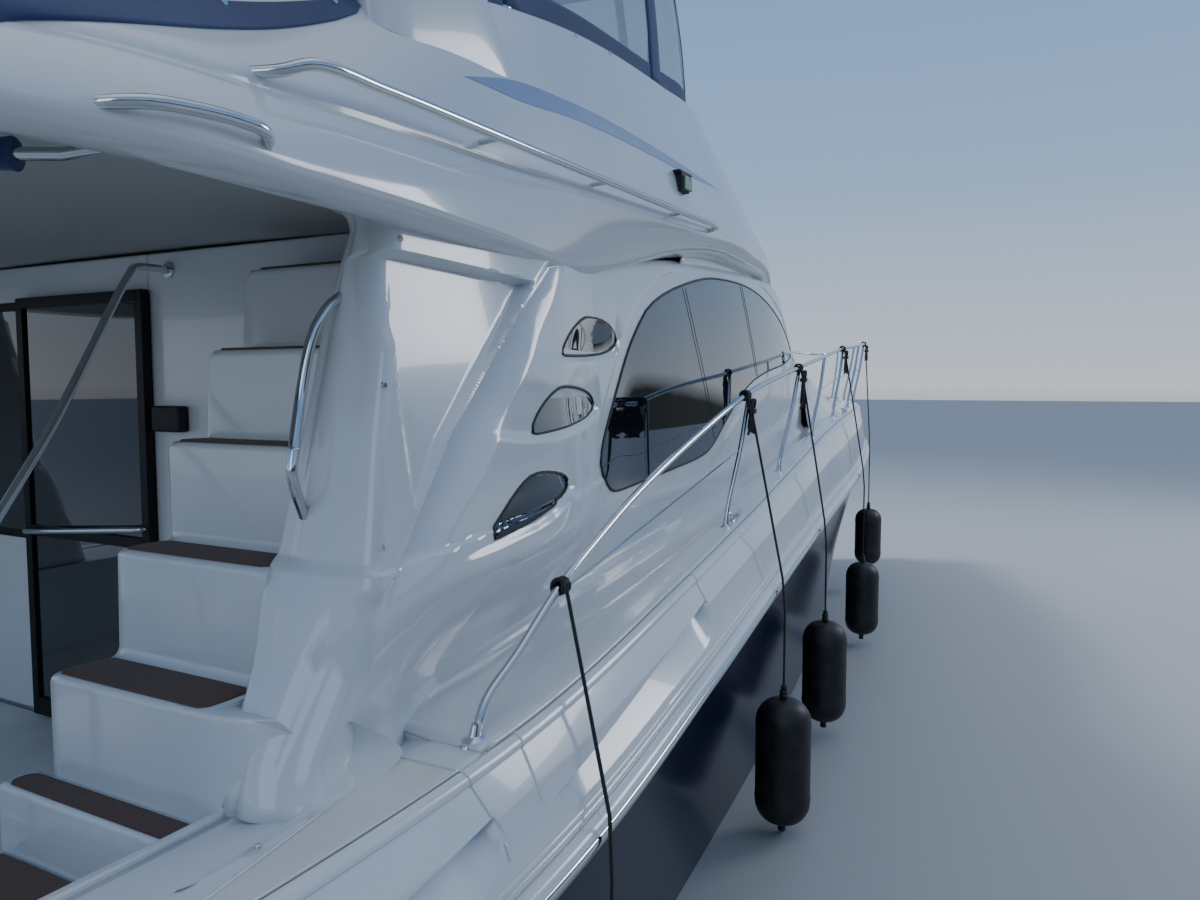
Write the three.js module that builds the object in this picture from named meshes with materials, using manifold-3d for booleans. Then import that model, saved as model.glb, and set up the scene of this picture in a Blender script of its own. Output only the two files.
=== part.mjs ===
// Flybridge motor yacht, millimetres. +X is the bow, +Y is port, +Z is up, and z = 0 is the waterline.
// The hull is a hollow moulding, closed by a deck moulding, with a cockpit tub and a cabin tub hung in it.
import * as THREE from "three";
import { mergeVertices } from "three/addons/utils/BufferGeometryUtils.js";
import Module from "manifold-3d";

const wasm = await Module();
wasm.setup();

// Driving dimensions
const GAP = 0.3; // between pieces that touch
const CLEAR = 6; // between moving pieces and their surrounds
const RUNNING = 0.5; // between a shaft and its bearing
const HULL_WALL = 28;
const DECK_WALL = 26;
const TRANSOM_X = -6400;
const SOLE_Z = 980; // cockpit and cabin sole
const SOLE_THICK = 40;
const COCKPIT = { aft: -6330, fore: -3602, half: 1640 };
const BULKHEAD_X = -3600; // outer face of the cabin's after wall
const ENGINE = { length: 1350, width: 780, height: 820, x: -4250, y: 760, z: -150 };
const SHAFT = { y: 760, radius: 25, propX: -5700, propZ: -760, exitX: -4600, slope: 0.235 };
const PROP_RADIUS = 285;
const RUDDER = { x: -6160, y: 760, top: -500, bottom: -1010, fore: 110, aft: 270, stock: 32 };
const FENDER = { radius: 160, rope: 8 };
const RAIL_RADIUS = 16;
const POST_RADIUS = 12.5;

const COLOURS = {
  white: 0xf3f2ee, navy: 0x10182c, canvas: 0x1b2a4a, glass: 0x10161c, steel: 0xc9ced2,
  black: 0x111214, grey: 0x8d9298, bronze: 0xa67c3f, wood: 0x7a4a26, cushion: 0xe6e1d4,
};
const FINISH = {
  white: [0.18, 0], navy: [0.12, 0], canvas: [0.95, 0], glass: [0.05, 0], steel: [0.12, 1],
  black: [0.5, 0], grey: [0.5, 0], bronze: [0.3, 1], wood: [0.35, 0], cushion: [0.6, 0],
};

const yacht = new THREE.Group();

// A closed geometry as a manifold-3d solid.
function solid(geometry) {
  const bare = geometry.clone();
  bare.deleteAttribute("normal");
  bare.deleteAttribute("uv");
  const merged = mergeVertices(bare, 1e-3);
  const made = new wasm.Manifold(
    new wasm.Mesh({
      numProp: 3,
      vertProperties: new Float32Array(merged.attributes.position.array),
      triVerts: new Uint32Array(merged.index.array),
    }),
  );
  return made;
}

function geometryOf(made) {
  const mesh = made.getMesh();
  const points = new Float32Array(mesh.numVert * 3);
  for (let i = 0; i < mesh.numVert; i++)
    points.set(mesh.vertProperties.subarray(i * mesh.numProp, i * mesh.numProp + 3), i * 3);
  const geometry = new THREE.BufferGeometry();
  geometry.setAttribute("position", new THREE.BufferAttribute(points, 3));
  geometry.setIndex(new THREE.BufferAttribute(new Uint32Array(mesh.triVerts), 1));
  return geometry;
}

// Adds a solid as a named mesh. Only the main body is kept: a cut can leave a crumb at a sharp edge.
function place(name, made, colour) {
  const bodies = made.decompose();
  const main = bodies.reduce((a, b) => (b.volume() > a.volume() ? b : a));
  const material = new THREE.MeshStandardMaterial({
    color: COLOURS[colour],
    roughness: FINISH[colour][0],
    metalness: FINISH[colour][1],
  });
  const mesh = new THREE.Mesh(geometryOf(main), material);
  mesh.name = name;
  yacht.add(mesh);
  return main;
}

const join = (...parts) => parts.reduce((a, b) => a.add(b));
const mirrored = (made) => made.mirror([0, 1, 0]);

function block(x0, x1, y0, y1, z0, z1) {
  const geometry = new THREE.BoxGeometry(x1 - x0, y1 - y0, z1 - z0);
  geometry.translate((x0 + x1) / 2, (y0 + y1) / 2, (z0 + z1) / 2);
  return solid(geometry);
}

// A round bar between two points, or a cone where the two radii differ.
function bar(from, to, radius, sides = 12, endRadius = radius) {
  const a = new THREE.Vector3(...from);
  const b = new THREE.Vector3(...to);
  const geometry = new THREE.CylinderGeometry(endRadius, radius, a.distanceTo(b), sides);
  const turn = new THREE.Quaternion().setFromUnitVectors(
    new THREE.Vector3(0, 1, 0), b.clone().sub(a).normalize());
  geometry.applyQuaternion(turn);
  geometry.translate((a.x + b.x) / 2, (a.y + b.y) / 2, (a.z + b.z) / 2);
  return solid(geometry);
}

// A tube along a smooth curve through the points.
function tube(points, radius, steps = 24, sides = 8) {
  const curve = new THREE.CatmullRomCurve3(points.map((p) => new THREE.Vector3(...p)), false, "centripetal");
  const section = new THREE.Shape();
  for (let i = 0; i < sides; i++) {
    const angle = (2 * Math.PI * i) / sides;
    const at = [radius * Math.cos(angle), radius * Math.sin(angle)];
    if (i) section.lineTo(...at);
    else section.moveTo(...at);
  }
  return solid(new THREE.ExtrudeGeometry(section, { steps, extrudePath: curve, bevelEnabled: false }));
}

// An outline of [u, v] points carried from w0 to w1 along an axis: "x" takes u, v as y, z, "y" as x, z
// and "z" as x, y.
function prism(outline, axis, w0, w1) {
  const shape = new THREE.Shape(outline.map((p) => new THREE.Vector2(...p)));
  const geometry = new THREE.ExtrudeGeometry(
    shape, { depth: w1 - w0, bevelEnabled: false, curveSegments: 6 },
  );
  geometry.translate(0, 0, w0);
  const turned = new THREE.Matrix4();
  if (axis === "x") turned.set(0, 0, 1, 0, 1, 0, 0, 0, 0, 1, 0, 0, 0, 0, 0, 1);
  if (axis === "y") turned.set(1, 0, 0, 0, 0, 0, -1, 0, 0, 1, 0, 0, 0, 0, 0, 1);
  geometry.applyMatrix4(turned);
  if (axis === "y") geometry.translate(0, w0 + w1, 0);
  return solid(geometry);
}

// A rounded outline: each corner [u, v, radius] becomes an arc of a few short sides.
function rounded(corners, steps = 3) {
  const out = [];
  corners.forEach(([u, v, radius = 0], i) => {
    const before = corners[(i + corners.length - 1) % corners.length];
    const after = corners[(i + 1) % corners.length];
    const p = new THREE.Vector2(u, v);
    if (!radius) {
      out.push([u, v]);
      return;
    }
    const a = new THREE.Vector2(before[0], before[1]).sub(p).setLength(radius).add(p);
    const b = new THREE.Vector2(after[0], after[1]).sub(p).setLength(radius).add(p);
    const arc = new THREE.QuadraticBezierCurve(a, p, b);
    for (const q of arc.getPoints(steps)) out.push([q.x, q.y]);
  });
  return out;
}

// A ring at x from the [y, z] points of its port half, listed upwards.
const symmetric = (x, half) => [
  ...half.map(([y, z]) => [x, y, z]), ...half.slice().reverse().map(([y, z]) => [x, -y, z]),
];

// Rings of equally many [x, y, z] points, joined side to side and closed by flat ends. The diagonals of
// the second half mirror those of the first, so that a ring listed from port to starboard is symmetric.
function loft(rings) {
  const count = rings[0].length;
  const points = rings.flat(2);
  const faces = [];
  for (let r = 0; r + 1 < rings.length; r++)
    for (let i = 0; i < count; i++) {
      const j = (i + 1) % count;
      const [a, b, c, d] = [r * count + i, r * count + j, (r + 1) * count + j, (r + 1) * count + i];
      if (i < (count - 1) / 2) faces.push(a, b, c, a, c, d);
      else faces.push(a, b, d, b, c, d);
    }
  const cap = (r, flip) => {
    const middle = [0, 1, 2].map((k) => rings[r].reduce((sum, p) => sum + p[k], 0) / count);
    const centre = points.push(...middle) / 3 - 1;
    for (let i = 0; i < count; i++) {
      const [a, b] = [r * count + i, r * count + ((i + 1) % count)];
      faces.push(centre, flip ? b : a, flip ? a : b);
    }
  };
  cap(0, true);
  cap(rings.length - 1, false);
  const geometry = new THREE.BufferGeometry();
  geometry.setAttribute("position", new THREE.BufferAttribute(new Float32Array(points), 3));
  geometry.setIndex(faces);
  const made = solid(geometry);
  return made.volume() > 0 ? made : loft(rings.map((ring) => ring.slice().reverse()));
}

const posed = (made, matrix) => made.transform(matrix.elements);

// A value between the rows of a table, by x.
function along(table, column, x) {
  const rows = table;
  if (x <= rows[0].x) return rows[0][column];
  for (let i = 0; i + 1 < rows.length; i++) {
    const [a, b] = [rows[i], rows[i + 1]];
    if (x <= b.x) return a[column] + ((b[column] - a[column]) * (x - a.x)) / (b.x - a.x);
  }
  return rows[rows.length - 1][column];
}

const rowsOf = (names, rows) =>
  rows.map((row) => Object.fromEntries(names.map((name, i) => [name, row[i]])));

// A table with a row at every one of the places, so that two tables meet on shared edges.
const resampled = (table, places) =>
  places.filter((x) => x <= table[table.length - 1].x).map((x) =>
    Object.fromEntries(Object.keys(table[0]).map((name) => [
      name, name === "x" ? x : along(table, name, x),
    ])));

// Hull stations: rail half-beam and height, chine half-beam and height, keel height.
const HULL_ROWS = rowsOf(["x", "rail", "railZ", "chine", "chineZ", "keelZ"], [
  [-6400, 2080, 1000, 1850, -60, -560],
  [-5200, 2150, 1040, 1880, -60, -610],
  [-3700, 2155, 1110, 1850, -50, -680],
  [-2500, 2060, 1215, 1760, -40, -730],
  [-1250, 1945, 1330, 1650, -20, -760],
  [200, 1805, 1450, 1510, 20, -770],
  [1400, 1685, 1530, 1380, 70, -760],
  [2600, 1560, 1610, 1210, 130, -720],
  [4100, 1330, 1710, 910, 290, -580],
  [5200, 1070, 1775, 620, 450, -380],
  [6100, 740, 1820, 340, 700, -20],
  [6750, 400, 1850, 150, 1040, 520],
  [7100, 130, 1865, 50, 1400, 1150],
]);

// Deck moulding stations: gunwale half-beam and height, inner edge and height of the side deck, trunk top.
const DECK_ROWS = rowsOf(["x", "gunwale", "gunwaleZ", "inner", "innerZ", "trunk", "trunkZ", "crownZ"], [
  [-6400, 1990, 1440, 1640, 1445, 1500, 1445, 1450],
  [-5200, 2050, 1450, 1640, 1455, 1500, 1455, 1460],
  [-3700, 2050, 1480, 1640, 1485, 1500, 1485, 1490],
  [-2500, 1965, 1600, 1640, 1580, 1500, 1580, 1590],
  [-1250, 1860, 1740, 1560, 1700, 1450, 1700, 1710],
  [200, 1730, 1920, 1450, 1850, 1380, 1850, 1880],
  [1400, 1610, 2060, 1340, 1990, 1290, 2010, 2050],
  [2300, 1520, 2140, 1250, 2070, 1150, 2480, 2560],
  [3400, 1380, 2190, 1130, 2120, 960, 2440, 2520],
  [4500, 1190, 2225, 940, 2160, 720, 2330, 2390],
  [5300, 960, 2240, 700, 2185, 480, 2220, 2240],
  [6100, 680, 2250, 480, 2210, 300, 2220, 2230],
  [6750, 360, 2255, 230, 2230, 120, 2235, 2240],
  [7060, 110, 2255, 60, 2240, 30, 2245, 2248],
]);

const STATIONS = [...new Set([...HULL_ROWS, ...DECK_ROWS].map((row) => row.x))].sort((a, b) => a - b);
const HULL = resampled(HULL_ROWS, STATIONS);
const DECK = resampled(DECK_ROWS, STATIONS);

// Half of a hull section from keel to rail, inset by the wall.
function hullHalf(s, inset) {
  const flare = (t, bow) => t - bow * t * (1 - t);
  const hollow = Math.max(0, (s.x + 1000) / 8000);
  const half = [[0, s.keelZ + inset * 1.1]];
  half.push([s.chine * 0.5 - inset * 0.2, (s.keelZ + s.chineZ) / 2 + inset - 18]);
  half.push([s.chine - inset, s.chineZ + inset * 0.9]);
  half.push([s.chine + 45 - inset, s.chineZ + 12 + inset]);
  for (const t of [0.35, 0.7, 1]) {
    const y = s.chine + 45 + (s.rail - s.chine - 45) * flare(t, hollow);
    half.push([y - inset, s.chineZ + 12 + (s.railZ - s.chineZ - 12) * t]);
  }
  return half;
}

function hullRing(s, inset, rise) {
  const half = hullHalf(s, inset).map(([y, z], i, all) => [
    Math.max(y, i ? 4 : 0), i === all.length - 1 ? z + rise : z,
  ]);
  const port = half.map(([y, z]) => [s.x, y, z]);
  const starboard = half.slice(1).reverse().map(([y, z]) => [s.x, -y, z]);
  return [...port, ...starboard];
}

const shaftZ = (x) => SHAFT.propZ + (x - SHAFT.propX) * SHAFT.slope;

function hull() {
  const outer = loft(HULL.map((s) => hullRing(s, 0, 0)));
  const innerRows = HULL.slice(0, -2).map((s, i) => ({ ...s, x: i ? s.x : s.x + 45 }));
  const inner = loft(innerRows.map((s) => hullRing(s, HULL_WALL, 150)));
  let made = outer.subtract(inner);
  for (const side of [-1, 1]) {
    const y = side * SHAFT.y;
    const hullZ = -430;
    const log = bar(
      [SHAFT.exitX - 160, y, shaftZ(SHAFT.exitX - 160)], [SHAFT.exitX + 240, y, shaftZ(SHAFT.exitX + 240)],
      55,
    );
    const bore = bar(
      [SHAFT.exitX - 300, y, shaftZ(SHAFT.exitX - 300)], [SHAFT.exitX + 60, y, shaftZ(SHAFT.exitX + 60)],
      SHAFT.radius + RUNNING, 24,
    );
    const boss = bar([RUDDER.x, y, RUDDER.top + CLEAR + GAP - 4], [RUDDER.x, y, hullZ + 60], 70);
    const tab = block(TRANSOM_X - 330, TRANSOM_X + 10, y - 420, y + 420, -330, -318)
      .add(block(TRANSOM_X - 60, TRANSOM_X + 10, y - 400, y + 400, -330, -270));
    made = join(made, log, boss, tab).subtract(bore);
  }
  return made;
}

function deckRing(d, inset, drop) {
  const rail = along(HULL, "rail", d.x);
  const railZ = along(HULL, "railZ", d.x);
  const rise = d.gunwaleZ - railZ;
  const half = [
    [rail - 3 - inset, railZ + GAP - drop],
    [rail - 8 - inset, railZ + rise * 0.3],
    [rail - (rail - d.gunwale) * 0.55 - inset, railZ + rise * 0.72],
    [d.gunwale - inset, d.gunwaleZ - 35 - inset * 0.4],
    [d.gunwale - 35 - inset * 0.8, d.gunwaleZ - inset],
    [d.inner + (d.gunwale - d.inner) * 0.45, d.gunwaleZ - inset],
    [d.inner - inset * 0.3, d.innerZ - inset],
    [d.trunk - inset, d.trunkZ - inset],
    [d.trunk * 0.5 - inset * 0.5, d.crownZ - (d.crownZ - d.trunkZ) * 0.3 - inset],
  ].map(([y, z]) => [Math.max(y, 3), z]);
  const port = half.map(([y, z]) => [d.x, y, z]);
  const starboard = half.slice().reverse().map(([y, z]) => [d.x, -y, z]);
  return [...port, [d.x, 0, d.crownZ - inset], ...starboard];
}

// A table whose first and last rows lie a little further out, for a solid that is a gap larger all round.
const stretched = (table, by) => table.map((row, i) =>
  ({ ...row, shift: i === 0 ? -by : i === table.length - 1 ? by : 0 }));
const shifted = (ring, row) => ring.map(([x, y, z]) => [x + row.shift, y, z]);

const deckOuter = loft(DECK.map((d) => deckRing(d, 0, 0)));
const deckGrown = loft(stretched(DECK, GAP).map((d) => shifted(deckRing(d, -GAP, GAP), d)));
const hullGrown = loft(stretched(HULL, GAP).map((s) => shifted(hullRing(s, -GAP, GAP), s)));
const DOOR = { y0: 850, y1: 1450, thick: 34 }; // gate in the transom
const CABIN_PLAN = [[-3560, 1520], [-1250, 1440], [1200, 1240], [2150, 1060]];
const cabinHole = (shrink) => {
  const port = CABIN_PLAN.map(([x, y], i, all) =>
    [x + (i === 0 ? shrink : i === all.length - 1 ? -shrink : 0), y - shrink]);
  const outline = [...port, ...port.slice().reverse().map(([x, y]) => [x, -y])].reverse();
  return prism(outline, "z", SOLE_Z - SOLE_THICK, 3000);
};
const HATCH = { x0: 5420, x1: 5980, half: 250, top: 2245 }; // locker lid on the foredeck

function deck() {
  const innerRows = DECK.slice(0, -1).map((d, i) => ({ ...d, x: i ? d.x : d.x + 70 }));
  const inner = loft(innerRows.map((d) => deckRing(d, DECK_WALL, 120)));
  const well = block(COCKPIT.aft, COCKPIT.fore, -COCKPIT.half, COCKPIT.half, 900, 2000);
  const gate = block(TRANSOM_X - 20, COCKPIT.aft + 10, DOOR.y0, DOOR.y1, SOLE_Z + 30, 2000);
  const coaming = block(HATCH.x0 - 30, HATCH.x1 + 30, -HATCH.half - 30, HATCH.half + 30, 2120, HATCH.top)
    .subtract(block(HATCH.x0, HATCH.x1, -HATCH.half, HATCH.half, 2100, 2400));
  const hole = block(HATCH.x0, HATCH.x1, -HATCH.half, HATCH.half, 2100, 2400);
  const doorway = block(COCKPIT.fore - 10, -3550, SALON_DOOR.y0 + 40, SALON_DOOR.y1 - 40, 900, 1600);
  return deckOuter.subtract(inner).subtract(well).subtract(gate).subtract(cabinHole(0))
    .subtract(doorway).subtract(hole).add(coaming);
}

const COCKPIT_LID = { x0: -5750, x1: -4950, half: 460 };
const KNUCKLE = 9; // radius of a lid's hinge barrel

function cockpitTub() {
  const { aft, fore, half } = COCKPIT;
  const wall = 30;
  const shell = block(aft + GAP, fore - GAP, -half + GAP, half - GAP, SOLE_Z - SOLE_THICK, 1438)
    .subtract(block(aft + wall, fore - wall, -half + wall, half - wall, SOLE_Z, 1500));
  const gate = block(aft - 10, aft + wall + 10, DOOR.y0, DOOR.y1, SOLE_Z + 30, 2000);
  const { x0, x1, half: lidHalf } = COCKPIT_LID;
  const slideWay = block(
    fore - 60, fore + 5, SALON_DOOR.y0 - 40, SALON_DOOR.y1 + SALON_DOOR.travel + 40, SOLE_Z, 1500,
  );
  return shell.subtract(slideWay).subtract(gate).subtract(block(x0, x1, -lidHalf, lidHalf, 900, 1100));
}

// A lid that lies in its opening and turns on a barrel along its forward edge.
function lid(x0, x1, half, top, thick) {
  const plate = block(x0 + CLEAR, x1 - CLEAR, -half + CLEAR, half - CLEAR, top - thick, top);
  const barrel = bar(
    [x1 + 12, -half + 60, top + KNUCKLE + GAP], [x1 + 12, half - 60, top + KNUCKLE + GAP], KNUCKLE,
  );
  const leaf = block(x1 - 60, x1 + 12, -half + 60, half - 60, top - 1, top + 5)
    .subtract(block(x1 - CLEAR, x1 + 40, -half, half, top - 20, top + GAP));
  return join(plate, leaf, barrel);
}

// House stations: half-width and height at the base, at the sill, at the eyebrow, and the roof.
const HOUSE = rowsOf(["x", "base", "sill", "sillZ", "brow", "browZ"], [
  [-3600, 1620, 1640, 2020, 1600, 2930],
  [-2800, 1620, 1625, 2020, 1560, 2960],
  [-1300, 1560, 1560, 2060, 1480, 3130],
  [0, 1460, 1470, 2330, 1400, 3200],
  [700, 1390, 1400, 2480, 1330, 3210],
  [1000, 1360, 1365, 2520, 1290, 3160],
  [1900, 1220, 1225, 2560, 1100, 2790],
  [2380, 1110, 1110, 2510, 1040, 2575],
]);

function houseRing(h, inset) {
  return symmetric(h.x, [
    [h.base - inset, 1400],
    [h.sill - inset, h.sillZ],
    [h.brow - inset, h.browZ - inset],
    [h.brow * 0.55 - inset, h.browZ + 30 - inset],
  ]);
}

// Salon side window outline: x, z.
const SIDE_WINDOW = [
  [-2560, 2150], [-2470, 2010], [-1700, 2020], [-1270, 2040], [-1050, 2080], [-733, 2257], [-256, 2457],
  [300, 2545], [920, 2600], [1400, 2680], [1400, 2770], [1000, 2930], [390, 3075], [-100, 3120], [-600, 3110],
  [-1060, 3070], [-1830, 2880], [-2120, 2680], [-2340, 2450],
];
const SALON_DOOR = { y0: -190, y1: 650, z0: SOLE_Z + 20, z1: 2820, thick: 36, travel: 790 };

function shrunk(outline, by) {
  const cx = outline.reduce((s, p) => s + p[0], 0) / outline.length;
  const cz = outline.reduce((s, p) => s + p[1], 0) / outline.length;
  return outline.map(([x, z]) => {
    const length = Math.hypot(x - cx, z - cz);
    return [cx + ((x - cx) * (length - by)) / length, cz + ((z - cz) * (length - by)) / length];
  });
}

// Flybridge stations: lower edge, knuckle, and coaming top, each a half-width and a height.
const BRIDGE = rowsOf(["x", "edge", "edgeZ", "knuckle", "knuckleZ", "top", "topZ"], [
  [-5380, 1560, 2880, 1530, 3020, 1440, 3080],
  [-5240, 1800, 2865, 1740, 3030, 1580, 3120],
  [-5000, 1930, 2855, 1850, 3045, 1640, 3190],
  [-4400, 1955, 2850, 1860, 3080, 1620, 3360],
  [-3600, 1850, 2850, 1800, 3120, 1560, 3680],
  [-2830, 1660, 2860, 1730, 3180, 1500, 3870],
  [-1500, 1555, 3110, 1640, 3260, 1390, 4020],
  [-700, 1480, 3190, 1550, 3330, 1260, 4090],
  [-150, 1430, 3200, 1480, 3350, 1180, 3960],
  [500, 1340, 3205, 1370, 3340, 1080, 3650],
  [1080, 1180, 3190, 1190, 3270, 960, 3370],
]);
const BRIDGE_FLOOR = { aft: 3010, fore: 3240, stepX: -2800, front: -740 };

// One ring of the flybridge moulding, larger by grow all round.
function bridgeRing(b, grow = 0) {
  return symmetric(b.x, [
    [b.edge - 160 + grow, b.edgeZ - grow],
    [b.edge + grow, b.edgeZ + 8],
    [b.knuckle + grow, b.knuckleZ],
    [b.top + 40 + grow, b.topZ - 30],
    [b.top + grow, b.topZ + grow],
  ]);
}

// One ring of the space inside the coaming.
const BRIDGE_WALL = 75;
function bridgeWellRing(b, floor) {
  return symmetric(b.x, [
    [b.top - 100 - BRIDGE_WALL, floor],
    [b.top + 60 - BRIDGE_WALL, floor + 2],
    [b.top + 70 - BRIDGE_WALL, Math.max(b.knuckleZ + 10, floor + 60)],
    [b.top + 40 - BRIDGE_WALL, b.topZ - 30],
    [b.top - BRIDGE_WALL, b.topZ + 200],
  ]);
}

const bridgeOuter = loft(BRIDGE.map((b) => bridgeRing(b)));
const bridgeGrown = loft(stretched(BRIDGE, GAP).map((b) => shifted(bridgeRing(b, GAP), b)));
const CEILING_Z = 2950; // under the overhang
const STAIR_WELL = { x0: -4560, x1: -3640, y0: -1560, y1: -900 };

function flybridge() {
  const { aft, fore, stepX, front } = BRIDGE_FLOOR;
  const places = [...BRIDGE.slice(1, -4).map((b) => b.x), stepX, stepX + 1, front].sort((a, b) => a - b);
  const inner = loft(resampled(BRIDGE, places).map((b) => bridgeWellRing(b, b.x > stepX ? fore : aft)));
  const stairs = block(STAIR_WELL.x0, STAIR_WELL.x1, STAIR_WELL.y0, STAIR_WELL.y1, 2700, 3300);
  const ceiling = block(-5150, COCKPIT.fore, -1690, 1690, 2700, CEILING_Z);
  return bridgeOuter.subtract(inner).subtract(stairs).subtract(ceiling);
}

const bridge = flybridge();

// Tracks of the sliding door: the head is moulded with the house, the sill with the cockpit tub.
const TRACK = { x0: BULKHEAD_X - 60, slack: 20 };
function doorHead() {
  const { y0, y1, z1, travel } = SALON_DOOR;
  return block(TRACK.x0, BULKHEAD_X + 10, y0 - TRACK.slack, y1 + travel + TRACK.slack, z1 - 11, z1 + 24);
}

function doorSill() {
  const { y0, y1, z0, travel } = SALON_DOOR;
  return block(
    TRACK.x0, COCKPIT.fore - GAP, y0 - TRACK.slack, y1 + travel + TRACK.slack, SOLE_Z - 10, z0 + 11,
  );
}

const HOUSE_WALL = 32;
const houseOuter = loft(HOUSE.map((h) => houseRing(h, 0)));
const houseGrown = loft(stretched(HOUSE, GAP).map((h) => shifted(houseRing(h, -GAP), h)));

const SCREEN = { x0: 1050, x1: 2240, half: 930 };
const windscreenHole = (shrink) =>
  block(SCREEN.x0 + shrink, SCREEN.x1 - shrink, shrink - SCREEN.half, SCREEN.half - shrink, 2600, 3400);

function house() {
  const last = HOUSE.length - 1;
  const innerRows = HOUSE.map((h, i) => ({ ...h, x: h.x + (i === 0 ? 45 : 0) - (i === last ? 60 : 0) }));
  const inner = loft(innerRows.map((h) => houseRing(h, HOUSE_WALL)));
  const below = block(-3700, 2600, -2000, 2000, 900, 1402);
  const side = prism(SIDE_WINDOW, "y", -1800, 1800);
  const { y0, y1, z0, z1 } = SALON_DOOR;
  const door = block(BULKHEAD_X - 20, BULKHEAD_X + 80, y0 + 40, y1 - 40, 1380, z1 - 60);
  const pane = block(BULKHEAD_X - 20, BULKHEAD_X + 80, 720, 1420, 1800, z1 - 60);
  return houseOuter.subtract(inner).subtract(below).subtract(side).subtract(door).subtract(pane)
    .subtract(windscreenHole(0)).subtract(deckGrown).subtract(bridgeGrown).add(doorHead());
}

function sideGlass(side) {
  const outline = shrunk(SIDE_WINDOW, 1);
  const slab = prism(outline, "y", side > 0 ? 1000 : -1800, side > 0 ? 1800 : -1000);
  const outerSkin = loft(HOUSE.map((h) => houseRing(h, 8)));
  const innerSkin = loft(HOUSE.map((h) => houseRing(h, 20)));
  return slab.intersect(outerSkin).subtract(innerSkin).subtract(bridgeGrown);
}

function windscreen() {
  const outerSkin = loft(HOUSE.map((h) => houseRing(h, 6)));
  const innerSkin = loft(HOUSE.map((h) => houseRing(h, 20)));
  return windscreenHole(GAP + 0.1).intersect(outerSkin).subtract(innerSkin);
}

// The cabin's lining: a tub under the house, with its top cut to the slope of the deck.
function cabinTub() {
  const slope = [
    [-3700, SOLE_Z - SOLE_THICK], [2400, SOLE_Z - SOLE_THICK], [2400, 2040], [1200, 1960], [200, 1820],
    [-1250, 1680], [-2500, 1560], [-3700, 1460],
  ];
  const inner = cabinHole(30).translate([0, 0, SOLE_THICK]);
  return cabinHole(GAP).intersect(prism(slope, "y", -2000, 2000)).subtract(inner)
    .subtract(block(-3700, -3500, SALON_DOOR.y0 + 40, SALON_DOOR.y1 - 40, SOLE_Z + 20, 2000));
}

// A seat: its moulded base, which is part of what it stands on, and its cushion.
function seat(x0, x1, half, floor, back) {
  const cushionTop = floor + 430;
  const base = block(x0 + 60, x1 - 60, -half + 60, half - 60, floor - 10, floor + 300);
  const squab = prism(
    rounded([
      [x0 + 60, floor + 300 + GAP], [x1, floor + 300 + GAP], [x1, cushionTop, 50], [x0 + 150, cushionTop],
      [x0 + 90, cushionTop + back, 30], [x0, cushionTop + back, 30],
    ]),
    "y", -half, half,
  );
  return [base, squab];
}

const helmSeat = seat(-2280, -1750, 520, BRIDGE_FLOOR.fore, 420);

// Lounge on the flybridge and bench across the cockpit, each with its moulded base and its cushion.
const LOUNGE = { x0: -5080, x1: -4640, y0: -820, y1: 1340, floor: BRIDGE_FLOOR.aft };
function lounge() {
  const { x0, x1, y0, y1, floor } = LOUNGE;
  const base = block(x0 + 130, x1 + 20, y0 + 40, y1 - 80, floor - 10, floor + 260)
    .add(block(x0 + 130, -3300, y1 - 460, y1 - 100, floor - 10, floor + 260));
  const top = floor + 260 + GAP;
  const squab = block(x0 + 100, x1 + 40, y0, y1 - 60, top, top + 130)
    .add(block(x0 + 100, -3260, y1 - 480, y1 - 60, top, top + 130));
  return [base, squab];
}

const BENCH = { x0: -6296, x1: -5820, y0: -1500, y1: 740 };
function bench() {
  const { x0, x1, y0, y1 } = BENCH;
  const base = block(x0, x1, y0, y1, SOLE_Z - 10, SOLE_Z + 320);
  const squab = prism(rounded([
    [x0 + 4, SOLE_Z + 320 + GAP], [x1 + 20, SOLE_Z + 320 + GAP], [x1 + 20, SOLE_Z + 450, 40],
    [x0 + 160, SOLE_Z + 450], [x0 + 130, SOLE_Z + 640, 30], [x0 + 4, SOLE_Z + 640, 30],
  ]), "y", y0 + 5, y1 - 5);
  return [base, squab];
}

place("hull", hull(), "navy");
place("deck", deck(), "white");
place("cockpit_tub", join(cockpitTub(), doorSill(), bench()[0]), "white");
place("cockpit_hatch", lid(COCKPIT_LID.x0, COCKPIT_LID.x1, COCKPIT_LID.half, SOLE_Z, 30), "white");
place("cabin_tub", cabinTub(), "white");
place("house", house(), "white");
place("side_glass_starboard", sideGlass(-1), "glass");
place("side_glass_port", sideGlass(1), "glass");
place("windscreen", windscreen(), "glass");
place("flybridge", join(bridge, lounge()[0], helmSeat[0]), "white");

// Anchor locker lid on the foredeck, hinged on its forward edge like the cockpit lid.
place("foredeck_hatch", lid(HATCH.x0, HATCH.x1, HATCH.half, HATCH.top, 28), "white");

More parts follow.
